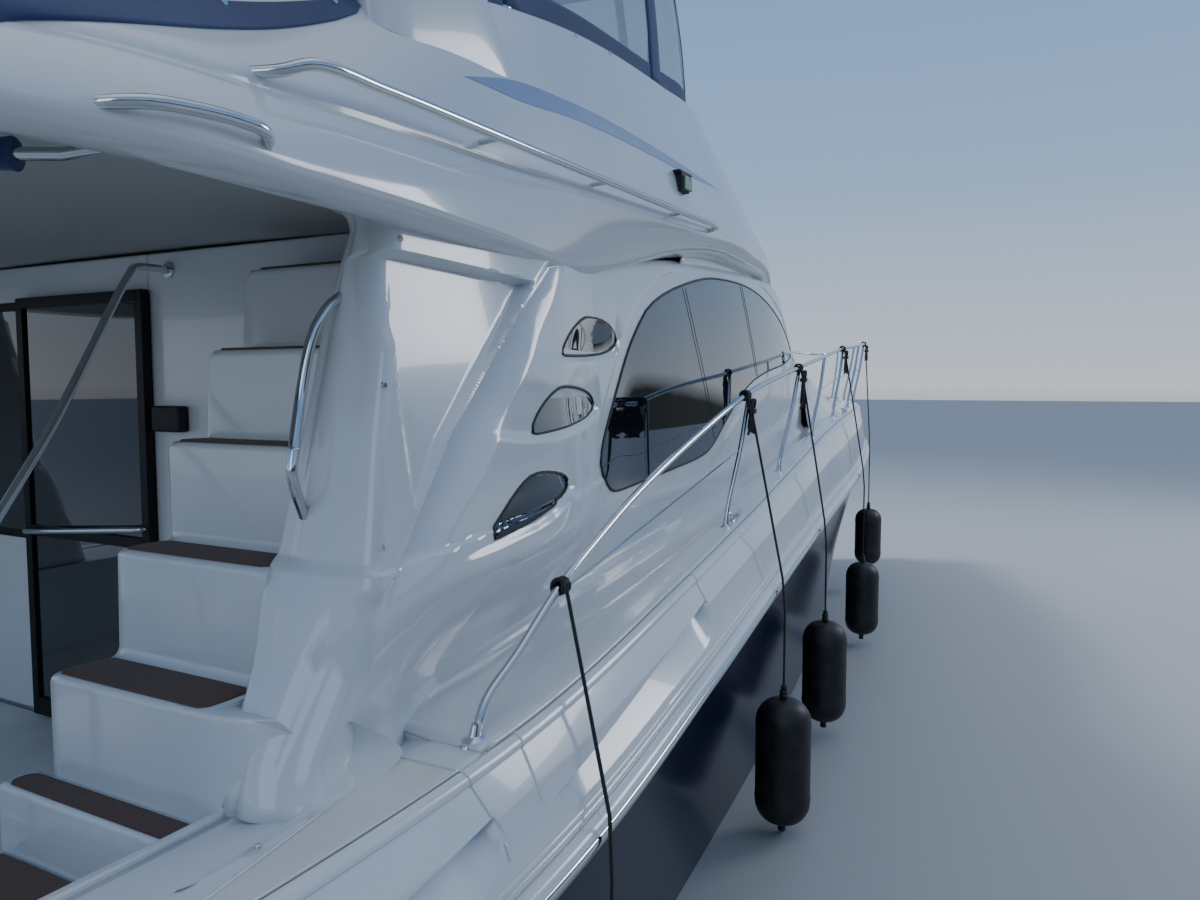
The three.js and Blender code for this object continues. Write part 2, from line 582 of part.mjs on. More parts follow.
// Rub rail: a band with a flat back that follows the joint between hull and deck round the bow, mitred
// at each station.
const RUB_RAIL = { back: 1, front: 46, crown: 60, height: 90, crownHeight: 36 };
function rubRail() {
  const port = HULL.map((s) => [s.x, s.rail, s.railZ]);
  const path = [...port.map(([x, y, z]) => [x, -y, z]), ...port.slice().reverse()];
  const normal = (a, b) => new THREE.Vector2(b[1] - a[1], a[0] - b[0]).normalize();
  const { back, front, crown, height, crownHeight } = RUB_RAIL;
  const rings = path.map((p, i) => {
    const first = normal(path[Math.max(0, i - 1)], path[Math.max(1, i)]);
    const second = normal(path[Math.min(i, path.length - 2)], path[Math.min(i + 1, path.length - 1)]);
    const middle = first.clone().add(second).normalize();
    const reach = 1 / middle.dot(first);
    const at = (out, up) => [p[0] + middle.x * out * reach, p[1] + middle.y * out * reach, p[2] + up];
    return [
      at(back, height / 2), at(front, height / 2), at(crown, crownHeight / 2),
      at(crown, -crownHeight / 2), at(front, -height / 2), at(back, -height / 2),
    ];
  });
  return loft(rings);
}

// Swim platform on brackets that stand against the transom.
const PLATFORM = { aft: -7450, half: 1850, top: 430, thick: 60 };
function swimPlatform() {
  const { aft, half, top, thick } = PLATFORM;
  const outline = rounded([
    [TRANSOM_X - 2, -half], [TRANSOM_X - 2, half], [aft + 120, half, 60], [aft, half - 260, 120],
    [aft, -half + 260, 120], [aft + 120, -half, 60],
  ]);
  let made = prism(outline, "z", top - thick, top);
  for (const y of [-1150, 0, 1150]) {
    const bracket = prism(
      [[TRANSOM_X - 2, 370], [TRANSOM_X - 2, 20], [TRANSOM_X - 60, 20], [aft + 500, 370]], "y", y - 20,
      y + 20,
    );
    made = made.add(bracket);
  }
  return made.add(block(TRANSOM_X - 40, TRANSOM_X - GAP, -1600, 1600, top - thick - 60, top));
}

// Transom gate: hinged on its outboard post, flush with the transom.
const GATE = { hingeX: TRANSOM_X + 16, hingeY: DOOR.y1 - 24, top: 1432 };
function transomGate() {
  const leaf = block(
    TRANSOM_X + 2, TRANSOM_X + 2 + DOOR.thick, DOOR.y0 + CLEAR, DOOR.y1 - 38, SOLE_Z + 36, GATE.top,
  );
  const barrel = bar([GATE.hingeX, GATE.hingeY, SOLE_Z + 30 + GAP], [GATE.hingeX, GATE.hingeY, GATE.top], 11);
  const straps = [1090, 1340].map((z) => block(
    GATE.hingeX - 4, GATE.hingeX + 4, GATE.hingeY - 16, GATE.hingeY, z - 25, z + 25,
  ));
  return join(leaf, barrel, ...straps);
}

// Sliding salon door: it runs to port between a head track on the house and a sill on the sole.
function salonDoor() {
  const { y0, y1, z0, z1, thick } = SALON_DOOR;
  const x1 = BULKHEAD_X - CLEAR - 4;
  const frame = block(x1 - thick, x1, y0, y1, z0 + 11 + RUNNING, z1 - 11 - RUNNING);
  const opening = block(x1 - thick - 1, x1 - thick + 12, y0 + 60, y1 - 60, z0 + 80, z1 - 80);
  const handle = block(x1 - thick - 40, x1 - thick + 2, y0 + 25, y0 + 45, 1780, 1800)
    .add(block(x1 - thick - 40, x1 - thick + 2, y0 + 25, y0 + 45, 2080, 2100))
    .add(block(x1 - thick - 40, x1 - thick - 28, y0 + 25, y0 + 45, 1780, 2100));
  return frame.subtract(opening).add(handle);
}

// Moulded stair from the cockpit up to the flybridge: tread height and riser position of each step.
const STEPS = rowsOf(["riser", "top", "inner", "outer"], [
  [-4760, 1210, -870, -1600],
  [-4600, 1390, -870, -1600],
  [-4500, 1670, -950, -1600],
  [-4300, 1980, -960, -1600],
  [-4120, 2280, -960, -1600],
  [-3970, 2560, -970, -1600],
  [-3800, 2830, -950, -1600],
]);
const STAIR_FORE = -3660;
function stairs() {
  let made;
  STEPS.forEach((s, i) => {
    const below = i < 3 ? SOLE_Z + GAP : s.top - 330 - (i - 3) * 10;
    const step = block(s.riser, STAIR_FORE - 1, s.outer, s.inner, below, s.top);
    made = made ? made.add(step) : step;
  });
  const stringer = prism(
    [
      [-4800, SOLE_Z + GAP], [STAIR_FORE - 1, SOLE_Z + GAP], [STAIR_FORE - 1, 2830], [-3800, 2830],
      [-4600, 1390], [-4800, 1210],
    ],
    "y", -1600, -1560,
  );
  return made.add(stringer.intersect(block(-5000, -3600, -1600, -1520, 900, 1700)));
}

// Wing pillar: the buttress that runs from the coaming up to the flybridge overhang and forward
// to the house side.
const WING_OUTLINE = [
  [-4540, 1450], [-4480, 1650], [-4380, 1750], [-4300, 2000], [-4200, 2300], [-4130, 2600], [-4090, 2880],
  [-3100, 2900], [-2650, 2860], [-2700, 2300], [-2760, 2000], [-3300, 1760], [-3700, 1600], [-3900, 1450],
];
const WING_FACE = 1605; // inner face
function wing(side) {
  const stations = rowsOf(["x", "low", "high"], [
    [-4600, 1900, 1840], [-3900, 1890, 1800], [-3300, 1850, 1740], [-2600, 1700, 1640],
  ]);
  const skin = (inset, inner) => loft(stations.map((w) => {
    const ring = [
      [w.x, inner, 1300], [w.x, w.low - inset, 1300], [w.x, w.low - inset, 1900],
      [w.x, w.high - inset, 3000], [w.x, inner, 3000],
    ];
    return ring;
  }));
  const port = prism(WING_OUTLINE, "y", 1500, 2100).intersect(skin(0, WING_FACE));
  const made = side > 0 ? port : mirrored(port);
  return made.subtract(houseGrown).subtract(bridgeGrown).subtract(deckGrown);
}

place("rub_rail", rubRail(), "steel");
place("swim_platform", swimPlatform(), "white");
place("transom_gate", transomGate(), "white");
place("salon_door", salonDoor(), "glass");
place("stairs", stairs(), "white");
place("wing_starboard", wing(-1), "white");
place("wing_port", wing(1), "white");

// Engines: plain blocks on two bearers each, cut to the inside of the hull.
function engine(side) {
  const { length, width, height, x, y, z } = ENGINE;
  const [x0, x1, middle] = [x - length / 2, x + length / 2, side * y];
  let made = block(x0, x1, middle - width / 2, middle + width / 2, z, z + height);
  for (const offset of [-250, 250])
    made = made.add(block(x0 + 80, x1 - 80, middle + offset - 40, middle + offset + 40, -800, z + 10));
  return made.intersect(loft(HULL.slice(0, -2).map((s) => hullRing(s, HULL_WALL + GAP, 150))));
}

// Propeller with its shaft. A blade is a lens section that turns and narrows along the radius.
const BLADE = rowsOf(["radius", "chord", "thick", "angle"], [
  [35, 110, 22, 62], [110, 190, 16, 46], [180, 220, 12, 34], [240, 170, 8, 28], [PROP_RADIUS, 60, 4, 25],
]);
function propeller(side) {
  const blade = loft(BLADE.map((b) => {
    const turn = THREE.MathUtils.degToRad(b.angle);
    return [[-0.5, 0], [-0.2, -0.5], [0.2, -0.5], [0.5, 0], [0.2, 0.5], [-0.2, 0.5]].map(([c, t]) => {
      const [u, v] = [c * b.chord, t * b.thick];
      return [
        u * Math.sin(turn) - v * Math.cos(turn), side * (u * Math.cos(turn) + v * Math.sin(turn)), b.radius,
      ];
    });
  }));
  let made = bar([-90, 0, 0], [80, 0, 0], 48, 16, 56).add(bar([-135, 0, 0], [-88, 0, 0], 18, 16, 44));
  for (let i = 0; i < 4; i++)
    made = made.add(posed(blade, new THREE.Matrix4().makeRotationX((i * Math.PI) / 2)));
  const length = Math.hypot(1, SHAFT.slope) * (SHAFT.exitX + 40 - SHAFT.propX);
  made = made.add(bar([0, 0, 0], [length, 0, 0], SHAFT.radius, 16));
  const tilt = new THREE.Matrix4().makeRotationY(-Math.atan(SHAFT.slope));
  tilt.setPosition(SHAFT.propX, side * SHAFT.y, SHAFT.propZ);
  return posed(made, tilt);
}

// Strut: a bronze bearing barrel on a blade that stands against the hull's bottom.
const STRUT = { x: -5470, barrel: 46, half: 85 };
function strut(side) {
  const y = side * SHAFT.y;
  const at = (x) => [x, y, shaftZ(x)];
  const barrel = bar(at(STRUT.x - STRUT.half), at(STRUT.x + STRUT.half), STRUT.barrel, 16);
  const bore = bar(at(STRUT.x - STRUT.half - 50), at(STRUT.x + STRUT.half + 50), SHAFT.radius + RUNNING, 24);
  const leg = prism(
    [[STRUT.x - 60, -700], [STRUT.x + 60, -690], [STRUT.x + 90, -300], [STRUT.x - 50, -300]], "y", y - 11,
    y + 11,
  );
  const pad = block(STRUT.x - 110, STRUT.x + 150, y - 45, y + 45, -425, -300);
  return join(barrel, leg, pad).subtract(bore).subtract(hullGrown);
}

// Spade rudder under a flat boss of the hull.
function rudder(side) {
  const { x, y, top, bottom, fore, aft, stock } = RUDDER;
  const foil = [[fore, 0], [fore * 0.6, 24], [-40, 28], [-aft, 4], [-aft, -4], [-40, -28], [fore * 0.6, -24]];
  const blade = loft([[bottom, 0.82], [top - 20, 1]].map(([z, scale]) =>
    foil.map(([u, v]) => [x + u * scale, side * y + v, z])));
  return blade.add(bar([x, side * y, top - 60], [x, side * y, top + 2], stock, 16));
}

// Bow rail: a top tube on posts, each with its foot on the deck.
const RAIL = rowsOf(["x", "y", "z", "footX", "footY"], [
  [-3420, 1930, 1800, 0, 0],
  [-2740, 1890, 2040, 0, 0],
  [-2040, 1860, 2230, 0, 0],
  [-1290, 1840, 2410, -1500, 1790],
  [170, 1700, 2570, -150, 1660],
  [1400, 1560, 2680, 1180, 1520],
  [2650, 1415, 2790, 2450, 1375],
  [3900, 1290, 2870, 3700, 1225],
  [4950, 1120, 2930, 4770, 1050],
  [5950, 790, 2940, 5820, 700],
  [6800, 380, 2930, 6720, 330],
]);
const RAIL_FOOT = [-3930, 1955];
const RAIL_TIP = [7360, 130, 2900];
const deckTop = (x, y) => {
  const d = resampled(DECK_ROWS, [x])[0];
  return y > d.inner + (d.gunwale - d.inner) * 0.45 ? d.gunwaleZ
    : d.innerZ + ((d.gunwaleZ - d.innerZ) * (y - d.inner)) / ((d.gunwale - d.inner) * 0.45);
};
const RAIL_LINE = [
  [RAIL_FOOT[0], RAIL_FOOT[1], deckTop(...RAIL_FOOT) - 20], [-3870, 1950, 1580], [-3700, 1945, 1650],
  ...RAIL.map((r) => [r.x, r.y, r.z]), RAIL_TIP, [7400, 0.2, 2895],
];
const railCurve = new THREE.CatmullRomCurve3(
  RAIL_LINE.map((p) => new THREE.Vector3(...p)), false, "centripetal",
);
const railPoints = railCurve.getPoints(400);
const railAt = (x, axis) => along(railPoints, axis, x);

const railTube = (side, grow) =>
  tube(RAIL_LINE.map(([x, y, z]) => [x, side * y, z]), RAIL_RADIUS + grow, 46, 6);

function bowRail(side) {
  const on = ([x, y, z]) => [x, side * y, z];
  let made = railTube(side, 0);
  for (const r of RAIL.filter((row) => row.footX)) {
    const foot = [r.footX, r.footY, deckTop(r.footX, r.footY)];
    const post = [
      [foot[0], foot[1], foot[2] - 20], [foot[0] + 30, foot[1] + 5, foot[2] + 120], [r.x, r.y, r.z],
    ];
    made = made.add(tube(post.map(on), POST_RADIUS, 3, 6))
      .add(bar(on([foot[0], foot[1], foot[2] - 30]), on([foot[0], foot[1], foot[2] + 14]), 34, 8));
  }
  const starboard = block(-5000, 8000, -3000, -GAP / 2, 0, 4000);
  const near = side > 0 ? mirrored(starboard) : starboard;
  return made.intersect(near).subtract(deckGrown).subtract(pulpitSlab(GAP));
}

// Anchor platform and roller, with the anchor stowed under it.
function pulpitSlab(grow) {
  const half = [[6650 - grow, 330 + grow], [7150, 200 + grow], [7430 + grow, 150 + grow, 60]];
  const plan = rounded([...half.map(([x, y, r]) => [x, -y, r]), ...half.slice().reverse()]);
  return prism(plan, "z", 2215 - grow, 2300 + grow);
}

function pulpit() {
  const slab = pulpitSlab(0);
  const slot = block(7180, 7500, -55, 55, 2100, 2400);
  const roller = bar([7330, -60, 2262], [7330, 60, 2262], 34, 14);
  return slab.subtract(slot).add(roller).subtract(deckGrown);
}

function anchor() {
  const shank = prism(
    [
      [6760, 2302], [7250, 2302], [7300, 2300.5], [7440, 2280], [7442, 2120], [7412, 2120], [7400, 2240],
      [7300, 2298],
    ],
    "y", -12, 12,
  );
  const bar1 = block(6700, 7290, -14, 14, 2300 + GAP, 2340);
  const arm = prism(
    [
      [7270, 2300.4], [7290, 2340], [7400, 2330], [7455, 2260], [7455, 2080], [7420, 2080], [7415, 2240],
      [7385, 2300.4],
    ],
    "y", -14, 14,
  );
  const fluke = loft([[2150, 20, 30], [2050, 130, 40], [1930, 15, 20]].map(([z, half, deep]) =>
    [
      [7400 - deep, -half * 0.3, z], [7445, -half, z], [7450, 0, z], [7445, half, z],
      [7400 - deep, half * 0.3, z],
    ]));
  return join(bar1, arm, fluke);
}

function windlass() {
  const top = along(DECK_ROWS, "crownZ", 6250);
  const base = bar([6250, 0, top - 20], [6250, 0, top + 40], 120, 20);
  const drum = bar([6250, 0, top + 38], [6250, 0, top + 150], 75, 20, 62);
  return base.add(drum).subtract(deckGrown);
}

// Half-beam of the topsides at a height.
function hullSide(x, z) {
  const s = resampled(HULL, [x])[0];
  const points = hullHalf(s, 0).slice(-4);
  for (let i = 0; i + 1 < points.length; i++)
    if (z <= points[i + 1][1]) {
      const [[y0, z0], [y1, z1]] = [points[i], points[i + 1]];
      return y0 + ((y1 - y0) * (z - z0)) / (z1 - z0);
    }
  return points[3][0];
}

// Fenders: a cylinder with cone ends, and the rope by which it hangs from the rail.
const FENDERS = rowsOf(["x", "low", "high", "railX"], [
  [-3650, 10, 800, -3420],
  [-1210, 10, 800, -1390],
  [240, 70, 870, 120],
  [2630, 60, 840, 2600],
  [4930, 280, 1040, 4900],
]);
function fender(f) {
  const { radius, rope } = FENDER;
  const rubZ = along(HULL, "railZ", f.x);
  const rubY = along(HULL, "rail", f.x) + RUB_RAIL.crown * 1.15;
  const y = Math.max(hullSide(f.x, f.high - 130) + radius, rubY + rope) + 2;
  const profile = [
    [0, 0], [60, 20], [120, 60], [radius, 130], [radius, f.high - f.low - 130], [120, f.high - f.low - 60],
    [60, f.high - f.low - 20], [30, f.high - f.low], [30, f.high - f.low + 50], [0, f.high - f.low + 50],
  ];
  const lathe = new THREE.LatheGeometry(profile.map((p) => new THREE.Vector2(...p)), 14);
  lathe.rotateX(Math.PI / 2);
  lathe.translate(f.x, -y, f.low);
  const railY = railAt(f.railX, "y");
  const railZ = railAt(f.railX, "z");
  const line = tube([
    [f.x, -y, f.high + 30], [f.x, -y, rubZ - 60], [f.x, -y, rubZ + 60],
    [f.railX, -railY - RAIL_RADIUS - rope + 5, railZ],
  ], rope, 8, 6);
  return solid(lathe).add(line.subtract(railTube(-1, GAP + 0.1)));
}

// Flybridge fittings.
const CONSOLE = { aft: -1250, fore: -680, half: 780 };
function helmConsole() {
  const { aft, fore, half } = CONSOLE;
  const floor = BRIDGE_FLOOR.fore + GAP;
  const side = [
    [aft, floor], [fore - 60, floor], [fore - 60, 4010], [fore - 200, 4020], [aft + 40, 3860], [aft, 3800],
  ];
  return prism(side, "y", -half, half);
}

const WHEEL = { x: -1330, y: -330, z: 3870, radius: 190, tube: 14, tilt: 25 };
function helmWheel() {
  const ring = new THREE.TorusGeometry(WHEEL.radius, WHEEL.tube, 6, 20);
  ring.rotateY(Math.PI / 2);
  let made = solid(ring).add(bar([-14, 0, 0], [46, 0, 0], 34, 14));
  for (let i = 0; i < 3; i++) {
    const a = (i * 2 * Math.PI) / 3;
    made = made.add(bar([8, 0, 0], [0, WHEEL.radius * Math.cos(a), WHEEL.radius * Math.sin(a)], 9, 8));
  }
  const pose = new THREE.Matrix4().makeRotationY(THREE.MathUtils.degToRad(WHEEL.tilt));
  pose.setPosition(WHEEL.x, WHEEL.y, WHEEL.z);
  return posed(made, pose);
}

// The boss that carries the wheel stands on the console's after face.
function wheelBoss() {
  const turn = THREE.MathUtils.degToRad(WHEEL.tilt);
  const at = (d) => [WHEEL.x + d * Math.cos(turn), WHEEL.y, WHEEL.z - d * Math.sin(turn)];
  return bar(at(46 + GAP), at(200), 40, 16);
}

place("engine_starboard", engine(-1), "grey");
place("engine_port", engine(1), "grey");
place("propeller_starboard", propeller(-1), "bronze");
place("propeller_port", propeller(1), "bronze");
place("strut_starboard", strut(-1), "bronze");
place("strut_port", strut(1), "bronze");
place("rudder_starboard", rudder(-1), "bronze");
place("rudder_port", rudder(1), "bronze");
place("bow_rail_starboard", bowRail(-1), "steel");
place("bow_rail_port", bowRail(1), "steel");
place("pulpit", pulpit(), "white");
place("anchor", anchor(), "steel");
place("windlass", windlass(), "steel");
FENDERS.forEach((f, i) => place(`fender_${i + 1}`, fender(f), "black"));
place("helm_console", helmConsole().add(wheelBoss()), "white");
place("helm_wheel", helmWheel(), "steel");
place("helm_seat_cushion", helmSeat[1], "cushion");

// Furniture that shows through the cabin glass.
function settee() {
  const base = block(-2900, -900, 560, 1180, SOLE_Z + GAP, SOLE_Z + 300);
  const squab = block(-2900, -900, 540, 1200, SOLE_Z + 300 + GAP, SOLE_Z + 440)
    .add(block(-2900, -900, 1060, 1200, SOLE_Z + 400, SOLE_Z + 860));
  return [base, squab];
}

function galley() {
  const front = block(-2500, -600, -1190, -640, SOLE_Z + GAP, SOLE_Z + 880);
  return front.add(block(-2520, -580, -1200, -620, SOLE_Z + 878, SOLE_Z + 915));
}

// Radar arch: two raked legs on the coaming, joined by a beam.
const ARCH = rowsOf(["z", "aft", "fore", "inner", "outer"], [
  [3420, -3980, -3240, 1610, 1700], [3760, -4030, -3440, 1582, 1670],
  [4400, -4300, -3800, 1510, 1592], [5060, -4640, -4200, 1425, 1500],
]);
const ARCH_BEAM = { z0: 5055, z1: 5190, aft: -4680, fore: -4180 };
function radarArch() {
  const leg = loft(ARCH.map(({ z, aft, fore, inner, outer }) => [
    [aft, inner, z], [fore, inner, z], [fore + 30, (inner + outer) / 2, z], [fore, outer, z], [aft, outer, z],
  ]));
  const { z0, z1, aft, fore } = ARCH_BEAM;
  const beam = prism(
    rounded([[aft, z0, 50], [fore, z0, 50], [fore, z1, 50], [aft, z1, 50]]), "y", -1495, 1495,
  );
  return join(leg, mirrored(leg), beam, mastLight()).subtract(bridgeGrown);
}

function radome() {
  const profile = [[0, 0], [190, 0], [290, 60], [300, 120], [280, 190], [200, 235], [0, 250]];
  const lathe = new THREE.LatheGeometry(profile.map((p) => new THREE.Vector2(...p)), 28);
  lathe.rotateX(Math.PI / 2);
  lathe.translate((ARCH_BEAM.aft + ARCH_BEAM.fore) / 2, 0, ARCH_BEAM.z1 + GAP);
  return solid(lathe);
}

function mastLight() {
  const x = ARCH_BEAM.aft + 120;
  const y = -620;
  return bar([x, y, ARCH_BEAM.z1 - 20], [x, y, 5560], 14, 10).add(bar([x, y, 5550], [x, y, 5620], 32, 14));
}

// Canvas top on a tube frame, and the canvas and clear curtain that hangs from it to the coaming.
const TOP = { half: 1330, edgeZ: 4890, crown: 110, thick: 26 };
const TOP_ROWS = rowsOf(["x", "narrow", "drop"], [
  [-4980, 60, 40], [-4400, 10, 8], [-3300, 0, 0], [-2000, 10, 4], [-1100, 60, 30], [-760, 160, 70],
]);
const TOP_COLUMNS = [1, 0.92, 0.7, 0.4, 0.12];
// The canvas's underside at x as a half section, from its edge to the middle.
const underCanvas = (x) => {
  const { narrow, drop } = resampled(TOP_ROWS, [x])[0];
  return TOP_COLUMNS.map((t) => [(TOP.half - narrow) * t, TOP.edgeZ - drop + TOP.crown * (1 - t * t)]);
};
const canvasZ = (x, y) => along(underCanvas(x).reverse().map(([u, z]) => ({ x: u, z })), "z", y);

function canvasTop() {
  return loft(TOP_ROWS.map(({ x }) => {
    const upper = underCanvas(x).map(([y, z]) => [y, z + TOP.thick]);
    const lower = underCanvas(x).reverse();
    const inner = lower.map(([y, z]) => [x, y, z]);
    const outer = upper.map(([y, z]) => [x, y, z]);
    const flip = (ring) => ring.slice().reverse().map(([a, y, z]) => [a, -y, z]);
    return [...inner, ...outer, ...flip(outer), ...flip(inner)];
  }));
}

place("lounge_cushion", lounge()[1], "cushion");
place("cockpit_cushion", bench()[1], "cushion");
place("settee_base", settee()[0], "wood");
place("settee_cushion", settee()[1], "cushion");
place("galley", galley(), "wood");
place("radar_arch", radarArch(), "white");
place("radome", radome(), "white");
place("canvas_top", canvasTop(), "canvas");

// The frame: three bows and a bar along each side, with feet on the coaming.
const BOWS = rowsOf(["x", "half", "footX", "footY"], [
  [-4700, 1215, -4480, 1592], [-2900, 1250, -3080, 1492], [-1150, 1195, -1560, 1368],
]);
const BOW_RADIUS = 13;
const coamingZ = (x) => along(BRIDGE, "topZ", x);
function topFrame() {
  let made;
  for (const { x, half, footX, footY } of BOWS) {
    const under = (y) => [x, y, canvasZ(x, y) - BOW_RADIUS + 3];
    const foot = [footX, footY, coamingZ(footX) - 12];
    const shoulder = [x, half, canvasZ(x, half) - 80];
    const side = [foot, foot.map((v, i) => (v + shoulder[i]) / 2), shoulder, under(half - 70)];
    const over = [under(930), under(532)];
    const port = [...side, ...over];
    const path = [...port, under(0), ...port.slice().reverse().map(([a, y, z]) => [a, -y, z])];
    const hoop = tube(path, BOW_RADIUS, 20, 6);
    made = made ? made.add(hoop) : hoop;
  }
  for (const side of [-1, 1]) {
    const bars = BOWS.map(({ x, half }) => [x, side * half, canvasZ(x, half) - 90]);
    made = made.add(tube(bars, BOW_RADIUS, 8, 6));
  }
  return made.subtract(bridgeGrown).subtract(canvasTop().translate([0, 0, -GAP]));
}

// The curtain's foot and head, from aft round to the middle of the front.
const CURTAIN = rowsOf(["x", "low", "topX", "high"], [
  [-5010, 1631, -4960, 1262], [-4400, 1612, -4380, 1310], [-3600, 1552, -3560, 1319], [-2830, 1492, -2800, 1318],
  [-1500, 1382, -1560, 1300], [-860, 1276, -1010, 1235], [-690, 1120, -900, 1100], [-650, 600, -850, 600],
  [-640, 0, -840, 0],
]);
const CURTAIN_THICK = 6;
function curtain() {
  const half = CURTAIN.map((c) =>
    [[c.x, c.low, coamingZ(c.x) - 10], [c.topX, c.high, canvasZ(c.topX, c.high) + 10]]);
  const path = [
    ...half.map(([a, b]) => [[a[0], -a[1], a[2]], [b[0], -b[1], b[2]]]), ...half.slice(0, -1).reverse(),
  ];
  const inward = (i, k) => {
    const a = path[Math.max(0, i - 1)][k];
    const b = path[Math.min(path.length - 1, i + 1)][k];
    return new THREE.Vector2(a[1] - b[1], b[0] - a[0]).normalize().multiplyScalar(CURTAIN_THICK);
  };
  return loft(path.map(([low, high], i) => {
    const [n, m] = [inward(i, 0), inward(i, 1)];
    return [low, high, [high[0] + m.x, high[1] + m.y, high[2]], [low[0] + n.x, low[1] + n.y, low[2]]];
  })).subtract(bridgeGrown).subtract(canvasTop().translate([0, 0, -GAP]));
}

// Handrails: a bar on standoffs along the flybridge's side, and two at the stair.
const HAND_RADIUS = 14;
const SIDE_RAIL = rowsOf(["x", "y", "z"], [
  [-4440, 1925, 3135], [-3650, 1872, 3175], [-2830, 1800, 3215], [-1960, 1735, 3250], [-1400, 1700, 3275],
]);
function sideRail(side) {
  const points = SIDE_RAIL.map((r) => [r.x, side * r.y, r.z]);
  const ends = [points[0], points[points.length - 1]].map(([x, y, z], i) => [
    x + (i ? 90 : -90), y - side * 110, z - 10,
  ]);
  let made = tube([ends[0], ...points, ends[1]], HAND_RADIUS, 16, 6);
  for (const [x, y, z] of points) made = made.add(bar([x, y, z], [x, y - side * 130, z - 6], 9, 6));
  return made.subtract(bridgeGrown);
}

function stairRailOuter() {
  const path = [
    [-4080, -1663, 2690], [-4140, -1663, 2660], [-4190, -1656, 2591], [-4240, -1650, 2412],
    [-4300, -1680, 2255], [-4295, -1680, 2200], [-4240, -1656, 2115], [-4200, -1640, 2060],
  ];
  const face = WING_OUTLINE.map(([x, z]) => [x - GAP, z]);
  return tube(path, HAND_RADIUS, 20, 6).subtract(prism(face, "y", -2000, -1500));
}

function stairRailInner() {
  const foot = [-4720, -825, SOLE_Z];
  return tube(
    [
      [-3604, -300, 2890], [-3720, -300, 2890], [-3860, -420, 2820], [-4300, -700, 2340],
      [-4680, -825, 1900], foot,
    ],
    HAND_RADIUS, 20, 6,
  )
    .add(bar([foot[0], foot[1], SOLE_Z + GAP], [foot[0], foot[1], SOLE_Z + 12], 36, 12))
    .add(bar([COCKPIT.fore - GAP, -300, 2890], [COCKPIT.fore - 13, -300, 2890], 32, 12))
    .subtract(block(-5000, -4500, -1000, -700, SOLE_Z - 100, SOLE_Z + GAP))
    .subtract(block(COCKPIT.fore - GAP, COCKPIT.fore + 50, -400, -200, 2800, 3000));
}

place("canvas_frame", topFrame(), "steel");
place("curtain", curtain(), "canvas");
place("side_rail_starboard", sideRail(-1), "steel");
place("side_rail_port", sideRail(1), "steel");
place("stair_rail_outer", stairRailOuter(), "steel");
place("stair_rail_inner", stairRailInner(), "steel");

export default yacht;
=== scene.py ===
"""A flybridge motor yacht afloat, about fifteen metres long, in metres.

+X is the bow, +Y is port, +Z is up and z = 0 is the waterline. Each section builds one piece of the boat
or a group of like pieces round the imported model.
"""
import math
import bmesh
import bpy
import numpy as np
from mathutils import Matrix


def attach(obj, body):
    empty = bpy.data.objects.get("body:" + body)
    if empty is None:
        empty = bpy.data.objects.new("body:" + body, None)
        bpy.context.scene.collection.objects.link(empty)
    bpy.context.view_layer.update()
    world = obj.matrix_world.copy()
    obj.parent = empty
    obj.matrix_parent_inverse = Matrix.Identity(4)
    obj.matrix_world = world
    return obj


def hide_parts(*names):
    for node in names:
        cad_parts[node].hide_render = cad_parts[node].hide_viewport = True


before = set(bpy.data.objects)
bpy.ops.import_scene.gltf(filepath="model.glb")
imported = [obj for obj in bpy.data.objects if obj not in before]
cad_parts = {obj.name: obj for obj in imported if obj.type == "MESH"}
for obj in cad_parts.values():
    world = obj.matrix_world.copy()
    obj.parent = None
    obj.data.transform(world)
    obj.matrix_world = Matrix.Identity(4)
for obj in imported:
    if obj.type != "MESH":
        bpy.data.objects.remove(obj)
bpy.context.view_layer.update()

# ---- Camera, light and floor
# The camera stands where the photographer did, on the dock beside the starboard cockpit. The floor lies at
# the waterline, so it takes the place of the water.
CAMERA_AT = (-5.9, -3.4, 2.45)
YAW, PITCH = math.radians(28.1), math.radians(4.13)
camera = bpy.data.objects.new("camera", bpy.data.cameras.new("camera"))
camera.location = CAMERA_AT
camera.rotation_euler = (math.pi / 2 - PITCH, 0, YAW - math.pi / 2)
camera.data.lens, camera.data.sensor_width = 27, 36
camera.data.clip_start, camera.data.clip_end = 0.05, 300
bpy.context.scene.collection.objects.link(camera)
bpy.context.scene.camera = camera


def linear(code):
    """An sRGB hex colour as linear RGBA: each channel c is c / 12.92, or ((c + 0.055) / 1.055) ** 2.4."""
    channels = [int(code[i:i + 2], 16) / 255 for i in (1, 3, 5)]
    return tuple(c / 12.92 if c <= 0.04045 else ((c + 0.055) / 1.055) ** 2.4 for c in channels) + (1.0,)


def add(tree, kind, values=None, links=None, **settings):
    """Adds a shader node, sets its attributes and socket values, and links sockets to (node, output)."""
    made = tree.nodes.new("ShaderNode" + kind)
    for name, value in settings.items():
        setattr(made, name, value)
    for name, value in (values or {}).items():
        made.inputs[name].default_value = value
    for name, (source, output) in (links or {}).items():
        tree.links.new(source.outputs[output], made.inputs[name])
    return made


